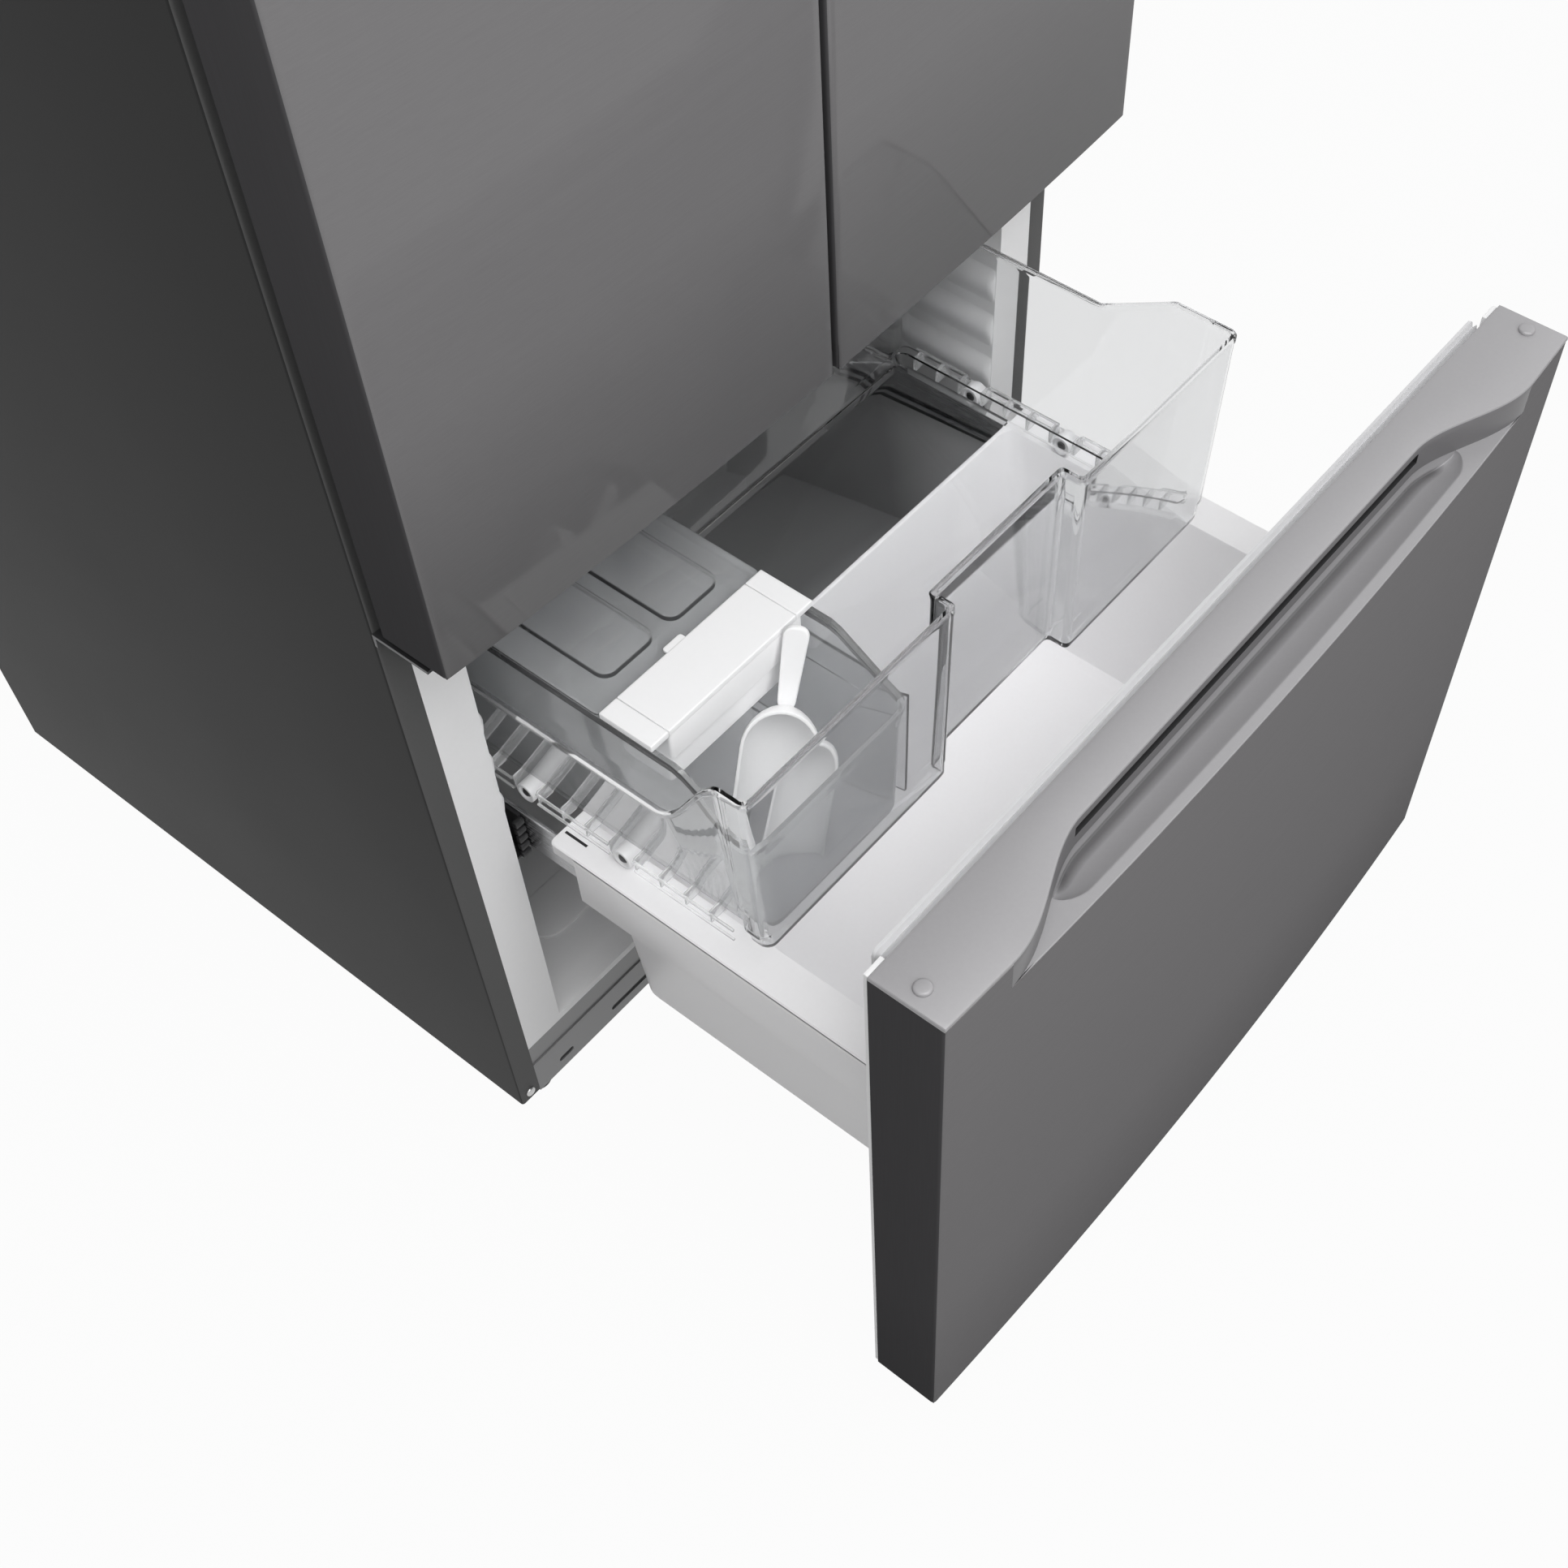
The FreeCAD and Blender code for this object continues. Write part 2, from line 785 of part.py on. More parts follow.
node("condenser", fin_block(
    "condenser_coil",
    d.condenser_left, d.condenser_left + d.condenser_length,
    depth(d.condenser_front), depth(d.condenser_rear),
    tray_top, tray_top + d.condenser_height,
))

pan_right = half - d.pan_from_side
pan_block = box(
    "pan_block",
    (d.pan_left + d.fin_pitch, pan_right),
    (depth(d.pan_front), depth(d.pan_rear)),
    (tray_top, tray_top + d.pan_height),
)
pan_room = box(
    "pan_room",
    (d.pan_left + d.fin_pitch + d.pan_gauge, pan_right - d.pan_gauge),
    (depth(d.pan_front + d.pan_gauge), depth(d.pan_rear - d.pan_gauge)),
    (tray_top + d.pan_gauge, tray_top + d.pan_height + d.pan_gauge),
)
node("drain_pan", cut("pan_cut", pan_block, pan_room))

cover_sheet = box(
    "cover_sheet",
    (-inner_half, inner_half),
    (rear - d.case_gauge, rear),
    (tray_top, height(d.machine_top)),
)
cover_slots = [
    box(
        f"cover_slot_{column}_{index}",
        (column_x - d.vent_half, column_x + d.vent_half),
        (rear - d.case_gauge * 2, rear + d.case_gauge),
        (tray_top + d.cover_slot_low + d.vent_height * 2 * index,
         tray_top + d.cover_slot_low + d.vent_height * 2 * index + d.vent_height),
    )
    for column, column_x in enumerate((-d.compressor_x, ZERO, d.compressor_x))
    for index in range(VENTS)
]
gland_place = (d.gland_x, rear - d.gland_length, tray_top + d.gland_height)
gland = rod("gland", "Y", gland_place, d.gland_radius, d.gland_length)
gland_bore = rod("gland_bore", "Y", gland_place, d.gland_bore, d.gland_length)
cover_form = fuse("cover_with_gland", cover_sheet, gland)
node("rear_cover", cut("rear_cover_cut", cover_form, *cover_slots, gland_bore))

# Evaporator and the screen that hides it at the back of the freezer
node("evaporator", fin_block(
    "evaporator_coil",
    -d.evaporator_half, d.evaporator_half,
    depth(d.evaporator_front), depth(d.freezer_depth),
    height(d.evaporator_low), height(d.evaporator_top),
))
screen_back = depth(d.screen_front + d.screen_gauge)
screen_z = height(d.screen_fan_at)
screen_sheet = box(
    "screen_sheet",
    (-cavity, cavity),
    (depth(d.screen_front), screen_back),
    (height(d.hump_top), height(d.freezer_ceiling)),
)
screen_mouth = rod(
    "screen_mouth", "Y", (ZERO, depth(d.screen_front), screen_z),
    d.screen_fan_radius + d.fan_room / 2, d.screen_gauge,
)
screen_bar = box(
    "screen_bar",
    (-d.screen_fan_radius - d.fan_room, d.screen_fan_radius + d.fan_room),
    (depth(d.screen_front), screen_back),
    (screen_z - d.fan_bar_half, screen_z + d.fan_bar_half),
)
screen_shaft = rod(
    "screen_shaft", "Y", (ZERO, depth(d.screen_front), screen_z),
    d.shaft_radius, d.screen_gauge + d.fan_gap + d.fan_width,
)
screen_holed = cut("screen_cut", screen_sheet, screen_mouth)
node("evaporator_cover", fuse("screen", screen_holed, screen_bar, screen_shaft))
node("evaporator_fan", fan_rotor(
    "evaporator_rotor", d.screen_fan_radius, "Y", (ZERO, screen_back + d.fan_gap, screen_z),
))

# Fresh-food fittings: air duct, lamp lens, shelves and crispers
duct_front = depth(d.fridge_depth - d.duct_gauge)
duct_block = box(
    "duct_block",
    (-d.duct_half, d.duct_half),
    (duct_front, depth(d.fridge_depth)),
    (height(d.duct_low), height(fridge_ceiling)),
)
vent_pitch = (fridge_ceiling - d.duct_low) / (VENTS + 1)
duct_vents = [
    box(
        f"duct_vent_{index}",
        (-d.vent_half, d.vent_half),
        (duct_front - d.vent_depth, duct_front + d.vent_depth),
        (height(d.duct_low + vent_pitch * (index + 1)),
         height(d.duct_low + vent_pitch * (index + 1) + d.vent_height)),
    )
    for index in range(VENTS)
]
node("air_duct", cut("duct_cut", duct_block, *duct_vents))
node("lamp_lens", box(
    "lamp_block",
    (-d.lamp_half, d.lamp_half),
    (depth(d.lamp_front), depth(d.lamp_front + d.lamp_length)),
    (height(fridge_ceiling - d.lamp_gauge), height(fridge_ceiling)),
))

shelf_rear = d.fridge_depth - d.shelf_rear_gap
crisper_rear = d.fridge_depth - d.crisper_rear_gap
shelf_names = ("crisper", "low", "high")
shelf_space = (fridge_ceiling - d.crisper_cover_at) / len(shelf_names)
shelf_levels = {name: d.crisper_cover_at + shelf_space * index for index, name in enumerate(shelf_names)}
glass_half = cavity - d.shelf_trim
glass_plates = []
shelf_rings = []
for name, level in shelf_levels.items():
    hole = box(
        f"{name}_shelf_hole",
        (-glass_half, glass_half),
        (depth(d.shelf_front + d.shelf_trim), depth(shelf_rear - d.shelf_trim)),
        (height(level - d.shelf_drop), height(level + d.shelf_glass)),
    )
    ring = box(
        f"{name}_shelf_ring",
        (-cavity, cavity),
        (depth(d.shelf_front), depth(shelf_rear)),
        (height(level - d.shelf_drop), height(level + d.shelf_glass)),
    )
    shelf_rings.append(cut(f"{name}_shelf_frame", ring, hole))
    glass_plates.append(box(
        f"{name}_shelf_glass",
        (-glass_half, glass_half),
        (depth(d.shelf_front + d.shelf_trim), depth(shelf_rear - d.shelf_trim)),
        (height(level), height(level + d.shelf_glass)),
    ))
node("shelf_frames", group("shelf_frame_set", *shelf_rings))
node("shelf_glass", group("shelf_glass_set", *glass_plates))


def crisper(name, sign):
    span = side_span(sign, d.crisper_gap, cavity - d.crisper_side)
    room = side_span(sign, d.crisper_gap + d.crisper_gauge, cavity - d.crisper_side - d.crisper_gauge)
    top = height(d.fridge_floor + d.crisper_height)
    tub = box(
        name, span,
        (depth(d.crisper_front), depth(crisper_rear)),
        (height(d.fridge_floor), top),
    )
    inside = box(
        f"{name}_room", room,
        (depth(d.crisper_front + d.crisper_gauge), depth(crisper_rear - d.crisper_gauge)),
        (height(d.fridge_floor + d.crisper_gauge), top + d.crisper_gauge),
    )
    return cut(f"{name}_tub", tub, inside)


node("crisper_drawers", both_sides("crisper", crisper))

# Door hinges: top plates with pins that point down, middle plates with pins that point up
hinge_x = half - d.hinge_inset
hinge_y = face - d.hinge_ahead
door_low = height(d.door_bottom)
door_high = roof - d.door_top_drop


def top_hinge(name, sign):
    plate = box(
        f"{name}_plate",
        side_span(sign, hinge_x - d.plate_half, hinge_x + d.plate_half - d.plate_gauge),
        (hinge_y - d.plate_nose, depth(d.top_plate_back)),
        (roof, roof + d.plate_gauge),
    )
    low = door_high - d.pin_reach
    pin = rod(f"{name}_pin", "Z", (hinge_x * sign, hinge_y, low), d.pin_radius, roof - low)
    return fuse(name, plate, pin)


def mid_hinge(name, sign):
    span = side_span(sign, hinge_x - d.plate_half, half)
    plate_top = height(d.mid_plate_at + d.plate_gauge)
    plate = box(
        f"{name}_plate", span,
        (hinge_y - d.plate_nose, face),
        (height(d.mid_plate_at), plate_top),
    )
    leg = box(f"{name}_leg", span, (face - d.plate_gauge, face), (height(d.mid_leg_low), plate_top))
    pin = rod(
        f"{name}_pin", "Z", (hinge_x * sign, hinge_y, plate_top),
        d.pin_radius, door_low + d.pin_reach - plate_top,
    )
    return fuse(name, plate, leg, pin)


def hinge_cover(name, sign):
    inner = hinge_x - d.plate_half - d.cover_margin
    front = hinge_y - d.plate_nose - d.cover_margin
    back = depth(d.top_plate_back + d.cover_margin)
    block = box(
        f"{name}_block", side_span(sign, inner - d.cover_gauge, half),
        (front - d.cover_gauge, back + d.cover_gauge), (roof, roof + d.cover_height),
    )
    room = box(
        f"{name}_room", side_span(sign, inner, half - d.cover_gauge / 2),
        (front, back), (roof - d.cover_gauge, roof + d.cover_height - d.cover_gauge),
    )
    return cut(name, block, room)


node("top_hinges", both_sides("top_hinge", top_hinge))
node("mid_hinges", both_sides("mid_hinge", mid_hinge))
node("hinge_covers", both_sides("hinge_cover", hinge_cover))

# Bowed fronts: the doors and the drawer are slices of one tall drum that bulges towards the user
bow_radius = (half * half + d.front_bow * d.front_bow) / (d.front_bow * 2)
door_rear = face - d.door_gap
drawer_rear = door_rear - d.drawer_out


def bowed(name, span, back, low, high, inset):
    """A slab with a bowed front, set in from the outside by the skin's thickness where asked."""
    nose = back - d.panel_depth - d.front_bow
    slab = box(f"{name}_slab", (span[0] + inset, span[1] - inset), (nose, back), (low, high))
    drum = rod(f"{name}_drum", "Z", (ZERO, nose + bow_radius, low), bow_radius - inset, high - low)
    return common(name, slab, drum)


def ring(name, x, z, back, reach, width):
    """A flat frame behind a door, as a magnetic gasket is."""
    outer = box(f"{name}_outer", x, (back, back + reach), z)
    inner = box(
        f"{name}_inner", (x[0] + width, x[1] - width), (back, back + reach), (z[0] + width, z[1] - width),
    )
    return cut(name, outer, inner)


gasket_reach = d.door_gap - d.gasket_rest
dike_outer = half - d.dike_from_side
dike_high = fridge_ceiling - d.dike_top_gap
dike_low = d.fridge_floor + d.dike_floor_gap
low_bin_height = dike_low + d.low_bin_lift
high_bin_height = (dike_low + dike_high) / 2 + d.high_bin_lift
for side, sign in (("left", -1), ("right", 1)):
    name = f"{side}_door"
    leaf = side_span(sign, d.centre_gap / 2, half)
    core_low = door_low + d.cap_height
    core_high = door_high - d.cap_height
    bore_x = hinge_x * sign
    bore_radius = d.pin_radius + d.running_fit

    skin_block = bowed(f"{name}_skin_block", leaf, door_rear, door_low, door_high, ZERO)
    skin_room = bowed(f"{name}_skin_room", leaf, door_rear, door_low, door_high, d.skin_gauge)
    node(f"{name}_skin", cut(f"{name}_skin_cut", skin_block, skin_room))
    node(f"{name}_core", bowed(f"{name}_core_slab", leaf, door_rear, core_low, core_high, d.skin_gauge))

    grip_front = door_rear - d.grip_back - d.grip_width
    grip = box(
        f"{name}_grip", side_span(sign, d.grip_inner, half - d.grip_from_side),
        (grip_front, grip_front + d.grip_width), (door_low, door_low + d.grip_height),
    )
    low_cap = bowed(f"{name}_low_cap", leaf, door_rear, door_low, core_low, d.skin_gauge)
    high_cap = bowed(f"{name}_high_cap", leaf, door_rear, core_high, door_high, d.skin_gauge)
    bores = [
        rod(f"{name}_bore_{index}", "Z", (bore_x, hinge_y, low), bore_radius, d.cap_height)
        for index, low in enumerate((door_low, core_high))
    ]
    node(f"{name}_caps", group(
        f"{name}_cap_set",
        cut(f"{name}_low_cap_cut", low_cap, grip, bores[0]),
        cut(f"{name}_high_cap_cut", high_cap, bores[1]),
    ))

    gasket_z = (door_low + d.door_gasket_end, door_high - d.door_gasket_end)
    gasket_outer = hinge_x - d.gasket_rest * 3
    gasket_x = side_span(sign, d.door_gasket_inner, gasket_outer)
    node(f"{name}_gasket", ring(
        f"{name}_seal", gasket_x, gasket_z, door_rear, gasket_reach, d.gasket_width,
    ))

    pad_margin = d.gasket_width + d.pad_fit
    pad_span = side_span(sign, d.door_gasket_inner + pad_margin, gasket_outer - pad_margin)
    pad_plate = box(
        f"{name}_pad", pad_span, (door_rear, door_rear + d.pad_gauge),
        (gasket_z[0] + pad_margin, gasket_z[1] - pad_margin),
    )
    dikes = [
        box(
            f"{name}_dike_{index}", side_span(sign, inner, inner + d.dike_gauge),
            (door_rear, depth(d.dike_reach)), (height(dike_low), height(dike_high)),
        )
        for index, inner in enumerate((d.dike_inner - d.dike_gauge, dike_outer))
    ]
    node(f"{name}_liner", fuse(f"{name}_liner_form", pad_plate, *dikes))

    shelves = []
    for index, level in enumerate((low_bin_height, high_bin_height)):
        outside = box(
            f"{name}_bin_{index}", side_span(sign, d.dike_inner, dike_outer),
            (door_rear + d.pad_gauge, depth(d.bin_reach)), (height(level), height(level + d.bin_height)),
        )
        inside = box(
            f"{name}_bin_room_{index}",
            side_span(sign, d.dike_inner + d.bin_gauge, dike_outer - d.bin_gauge),
            (door_rear + d.pad_gauge * 2, depth(d.bin_reach - d.bin_gauge)),
            (height(level + d.bin_gauge), height(level + d.bin_height + d.bin_gauge)),
        )
        shelves.append(cut(f"{name}_bin_tub_{index}", outside, inside))
    node(f"{name}_bins", group(f"{name}_bin_set", *shelves))

# Folding mullion on the left door: a bar that covers the gap between the doors and turns on its knuckle
flap_low = height(d.fridge_floor + d.flap_end)
flap_high = height(fridge_ceiling - d.flap_end)
flap_back = door_rear + d.flap_seat
flap_axis = flap_back + d.flap_gauge / 2
flap_leaf = box(
    "flap_leaf", (-d.flap_pivot, d.flap_tip), (flap_back, flap_back + d.flap_gauge), (flap_low, flap_high),
)
flap_knuckle = rod(
    "flap_knuckle", "Z", (-d.flap_pivot, flap_axis, flap_low), d.flap_gauge / 2, flap_high - flap_low,
)
node("mullion_flap", fuse("flap", flap_leaf, flap_knuckle))

# Freezer drawer front
front_low = height(d.drawer_bottom)
front_high = height(d.drawer_top)
edge_low = front_high - d.cap_edge
cap_low = front_high - d.drawer_cap
foot_high = front_low + d.drawer_foot
leaf = (-half, half)
pocket_low = front_high - d.pocket_drop
nose_y = drawer_rear - d.panel_depth - d.front_bow
pocket_y = drawer_rear - d.pocket_back
pocket_half = half - d.pocket_from_side
shoulder_half = half - d.shoulder_from_side
trough_half = half - d.trough_from_side
pocket = pad(
    "handle_pocket", "XY",
    (
        (-pocket_half, nose_y - d.front_bow),
        (-shoulder_half, pocket_y),
        (shoulder_half, pocket_y),
        (pocket_half, nose_y - d.front_bow),
    ),
    pocket_low, front_high + d.cap_edge,
)
trough_low = front_high - d.trough_drop
trough = box(
    "handle_trough",
    (-trough_half, trough_half),
    (pocket_y - d.trough_width, pocket_y + d.trough_width / 2),
    (trough_low, pocket_low),
)
ridge_y = pocket_y - d.trough_width
ridge = rod(
    "handle_ridge", "X", (-trough_half, ridge_y, pocket_low),
    d.ridge_radius, trough_half * 2,
)
drawer_shell = bowed("drawer_skin_block", leaf, drawer_rear, front_low, edge_low, ZERO)
drawer_hollow = bowed("drawer_skin_room", leaf, drawer_rear, front_low, edge_low, d.skin_gauge)
node("drawer_skin", cut("drawer_skin_cut", drawer_shell, drawer_hollow, pocket))
node("drawer_core", bowed("drawer_core_slab", leaf, drawer_rear, foot_high, cap_low, d.skin_gauge))
node("drawer_bottom_cap", bowed("drawer_foot_slab", leaf, drawer_rear, front_low, foot_high, d.skin_gauge))
cap_body = bowed("drawer_cap_body", leaf, drawer_rear, cap_low, edge_low, d.skin_gauge)
cap_lid = bowed("drawer_cap_lid", leaf, drawer_rear, edge_low, front_high, ZERO)
cap_scooped = cut("drawer_cap_cut", fuse("drawer_cap_block", cap_body, cap_lid), pocket, trough)
node("drawer_top_cap", fuse("drawer_cap_form", cap_scooped, ridge))


def cap_plug(name, sign):
    place = ((half - d.plug_inset) * sign, drawer_rear - d.plug_from_rear, front_high)
    return rod(name, "Z", place, d.plug_radius, d.plug_height)


node("cap_plugs", both_sides("cap_plug", cap_plug))
seal_x = (d.drawer_gasket_side - half, half - d.drawer_gasket_side)
seal_z = (front_low + d.drawer_gasket_low, front_high - d.drawer_gasket_top)
node("drawer_gasket", ring("drawer_seal", seal_x, seal_z, drawer_rear, gasket_reach, d.gasket_width))
pad_margin = d.gasket_width + d.pad_fit
node("drawer_liner", box(
    "drawer_pad",
    (seal_x[0] + pad_margin, seal_x[1] - pad_margin),
    (drawer_rear, drawer_rear + d.pad_gauge),
    (seal_z[0] + pad_margin, seal_z[1] - pad_margin),
))

# Telescopic slides: a fixed member on the liner, a middle member, and one under the bin's rim
web_inner = cavity - d.slide_foot_width + d.slide_gauge
mid_outer = web_inner - d.slide_gauge - d.slide_step
inner_outer = mid_outer - d.slide_mid_gauge - d.slide_step
slide_start = depth(d.slide_front)
half_way = d.drawer_out / 2


def slide_fixed(name, sign):
    foot = box(
        f"{name}_foot", side_span(sign, cavity - d.slide_foot_width, cavity),
        (slide_start, slide_start + d.slide_length),
        (height(d.slide_foot_at), height(d.slide_foot_at + d.slide_gauge)),
    )
    web = box(
        f"{name}_web", side_span(sign, web_inner - d.slide_gauge, web_inner),
        (slide_start, slide_start + d.slide_length),
        (height(d.slide_foot_at), height(d.slide_web_top)),
    )
    return fuse(name, foot, web)


def slide_middle(name, sign):
    start = slide_start - half_way
    return box(
        name, side_span(sign, mid_outer - d.slide_mid_gauge, mid_outer),
        (start, start + d.slide_length),
        (height(d.slide_mid_low), height(d.slide_mid_top)),
    )


tub_front = drawer_rear + d.pad_gauge
tub_rear = depth(-d.tub_rear)
roof_low = height(d.rim_top - d.rim_roof)


def slide_moving(name, sign):
    return box(
        name, side_span(sign, inner_outer - d.slide_inner_gauge, inner_outer),
        (tub_front + d.bin_gauge, tub_rear),
        (height(d.slide_inner_low), roof_low),
    )


node("slide_outer", both_sides("slide_fixed", slide_fixed))
node("slide_mid", both_sides("slide_middle", slide_middle))
node("slide_inner", both_sides("slide_moving", slide_moving))

# Lower bin: a deep white tub whose rim hangs over the slides as a skirt
bin_skirt = cavity - d.skirt_gap
tub_top_half = cavity - d.tub_top_gap
tub_low_half = cavity - d.tub_low_gap
rim_block = box(
    "rim_block", (-bin_skirt, bin_skirt), (tub_front, tub_rear), (height(d.rim_low), height(d.rim_top)),
)
tub_block = tapered(
    "tub_block",
    height(d.tub_floor), (-tub_low_half, tub_low_half),
    (tub_front + d.tub_front_draft, tub_rear - d.tub_slant),
    height(d.rim_top), (-tub_top_half, tub_top_half), (tub_front, tub_rear),
)
tub_room = tapered(
    "tub_room",
    height(d.tub_floor + d.tub_gauge), (d.tub_gauge - tub_low_half, tub_low_half - d.tub_gauge),
    (tub_front + d.tub_front_draft + d.tub_gauge, tub_rear - d.tub_slant - d.tub_gauge),
    height(d.rim_top), (d.tub_gauge - tub_top_half, tub_top_half - d.tub_gauge),
    (tub_front + d.tub_gauge, tub_rear - d.tub_gauge),
)


def skirt_room(name, sign):
    return box(
        name, side_span(sign, tub_top_half, bin_skirt - d.tub_gauge),
        (tub_front + d.bin_gauge, tub_rear + d.bin_gauge),
        (height(d.rim_low - d.tub_gauge), roof_low),
    )


bin_block = fuse("freezer_bin_block", rim_block, tub_block)
node("freezer_bin", cut("freezer_bin_cut", bin_block, tub_room, both_sides("skirt_room", skirt_room)))

# Upper basket: clear tub with stepped sides, low rear rims, a ramp up to the front and a recessed front.
# The left rim beside the ice bin is lower still and ramps up later.
basket_y = (depth(-d.basket_front), depth(d.basket_rear))
gauge = d.basket_gauge
basket_low_half = cavity - d.basket_low_gap
basket_step_half = cavity - d.basket_step_gap
basket_top_half = cavity - d.basket_top_gap


def inset_span(span, amount):
    return (span[0] + amount, span[1] - amount)


def basket_solid(name, amount, floor, high):
    """The basket's body, set in by an amount for its inside."""
    low_half = basket_low_half - amount
    step_half = basket_step_half - amount
    top_half = basket_top_half - amount
    step = d.basket_step + amount
    lower = box(
        f"{name}_lower", (-low_half, low_half), inset_span(basket_y, d.basket_flare + amount),
        (height(floor), height(step)),
    )
    upper = tapered(
        f"{name}_upper",
        height(step), (-step_half, step_half), inset_span(basket_y, d.basket_flare + amount),
        height(high), (-top_half, top_half), inset_span(basket_y, amount),
    )
    recess = box(
        f"{name}_recess",
        (-d.recess_left - amount, d.recess_right + amount),
        (basket_y[0] - gauge, basket_y[0] + d.recess_depth + amount),
        (height(floor - gauge), height(high + gauge)),
    )
    return cut(f"{name}_form", fuse(f"{name}_tub", lower, upper), recess)


basket_rim = pad(
    "basket_rim_line", "YZ",
    (
        (depth(-d.ramp_front), height(d.basket_high + gauge * 2)),
        (depth(-d.ramp_front), height(d.basket_high)),
        (depth(-d.ramp_rear), height(d.basket_low_rim)),
        (basket_y[1] + gauge, height(d.basket_low_rim)),
        (basket_y[1] + gauge, height(d.basket_high + gauge * 2)),
    ),
    -half, half,
)
basket_left_rim = pad(
    "basket_left_rim_line", "YZ",
    (
        (depth(-d.left_ramp_front), height(d.basket_high + gauge * 2)),
        (depth(-d.left_ramp_front), height(d.basket_high)),
        (depth(-d.left_ramp_rear), height(d.left_rim)),
        (basket_y[1] + gauge, height(d.left_rim)),
        (basket_y[1] + gauge, height(d.basket_high + gauge * 2)),
    ),
    -half, gauge * 2 - basket_step_half,
)
basket_tub = cut(
    "basket_cut",
    basket_solid("basket_outside", ZERO, d.basket_floor, d.basket_high),
    basket_solid("basket_inside", gauge, d.basket_floor + gauge, d.basket_high + gauge),
    basket_rim,
    basket_left_rim,
)
roller_z = height(d.rim_top + d.roller_rest + d.roller_radius)
roller_inner = basket_low_half + d.roller_rest
roller_outer = roller_inner + d.roller_width
roller_places = {"rear": depth(-d.roller_rear_at), "front": depth(-d.roller_front_at)}
basket_extras = []
for index, sign in enumerate((-1, 1)):
    for name, place in roller_places.items():
        span = side_span(sign, basket_low_half - gauge, roller_outer)
        basket_extras.append(rod(
            f"basket_axle_{name}_{index}", "X", (span[0], place, roller_z), d.axle_radius, span[1] - span[0],
        ))
    for number in range(RIBS):
        rib_y = basket_y[1] - d.rib_pitch / 2 - d.rib_pitch * number
        near_roller = any(
            abs(rib_y.value - place.value) < d.roller_radius.value + d.rib_gauge.value
            for place in roller_places.values()
        )
        if not near_roller:
            basket_extras.append(box(
                f"basket_rib_{index}_{number}",
                side_span(sign, basket_low_half - gauge, basket_step_half),
                (rib_y, rib_y + d.rib_gauge),
                (height(d.basket_step - d.roller_radius), height(d.basket_step)),
            ))
node("upper_basket", fuse("basket_form", basket_tub, *basket_extras))


def basket_roller(name, sign, place):
    span = side_span(sign, roller_inner, roller_outer)
    tyre = rod(name, "X", (span[0], place, roller_z), d.roller_radius, d.roller_width)
    bore = rod(
        f"{name}_bore", "X", (span[0], place, roller_z), d.axle_radius + d.running_fit, d.roller_width,
    )
    return cut(f"{name}_turned", tyre, bore)


for name, place in roller_places.items():
    node(f"basket_rollers_{name}", group(
        f"rollers_{name}",
        basket_roller(f"roller_{name}_left", -1, place),
        basket_roller(f"roller_{name}_right", 1, place),
    ))

basket_top = height(d.basket_floor) + gauge
node("basket_divider", box(
    "divider_sheet",
    (-d.divider_at, d.divider_gauge - d.divider_at),
    (basket_y[0] + d.recess_depth + gauge + d.basket_flare, basket_y[1] - d.basket_flare - gauge),
    (basket_top, height(d.basket_low_rim - d.divider_drop)),
))

# Ice bin with its lid, white crossbar and scoop
ice_x = (d.ice_gap - cavity, -d.ice_right)
ice_wide = (ice_x[0] - d.ice_flare, ice_x[1] + d.ice_flare / 2)
ice_y = (depth(-d.ice_front), depth(d.ice_rear))
ice_block = tapered("ice_block", basket_top, ice_x, ice_y, height(d.ice_top), ice_wide, ice_y)
ice_room = tapered(
    "ice_room",
    basket_top + d.ice_gauge, inset_span(ice_x, d.ice_gauge), inset_span(ice_y, d.ice_gauge),
    height(d.ice_top), inset_span(ice_wide, d.ice_gauge), inset_span(ice_y, d.ice_gauge),
)
ice_slope = pad(
    "ice_slope", "YZ",
    (
        (depth(-d.ice_dip_at), height(d.ice_top)),
        (ice_y[0] - d.ice_gauge, height(d.ice_top - d.ice_dip)),
        (ice_y[0] - d.ice_gauge, height(d.ice_top + d.ice_gauge)),
        (depth(-d.ice_dip_at), height(d.ice_top + d.ice_gauge)),
    ),
    -half, half,
)
node("ice_bin", cut("ice_bin_cut", ice_block, ice_room, ice_slope))

lid_x = (ice_wide[0] - d.lid_overlap, ice_wide[1] + d.lid_overlap)
lid_y = (depth(-d.ice_bar_rear), ice_y[1])
lid_low = height(d.ice_top)
lid_sheet = box("lid_sheet", lid_x, lid_y, (lid_low, lid_low + d.lid_gauge))
lid_middle = (lid_x[0] + lid_x[1]) / 2
lid_windows = []
for index, sign in enumerate((-1, 1)):
    window_middle = lid_middle + (d.lid_window_width + d.lid_window_gap) / 2 * sign
    window_y = (lid_y[0] + lid_y[1]) / 2
    lid_windows.append(box(
        f"lid_window_{index}",
        (window_middle - d.lid_window_width / 2, window_middle + d.lid_window_width / 2),
        (window_y - d.lid_window_length / 2, window_y + d.lid_window_length / 2),
        (lid_low, lid_low + d.lid_gauge + d.lid_window_rise),
    ))
node("ice_lid", fuse("ice_lid_form", lid_sheet, *lid_windows))

bar_y = (depth(-d.ice_bar_front), depth(-d.ice_bar_rear))
bar_top = box("bar_top", lid_x, bar_y, (lid_low, lid_low + d.ice_bar_top))
bar_web = box(
    "bar_web", inset_span(ice_x, d.ice_gauge * 2), bar_y, (lid_low - d.ice_bar_drop, lid_low),
)
node("ice_bar", fuse("ice_bar_form", bar_top, bar_web))

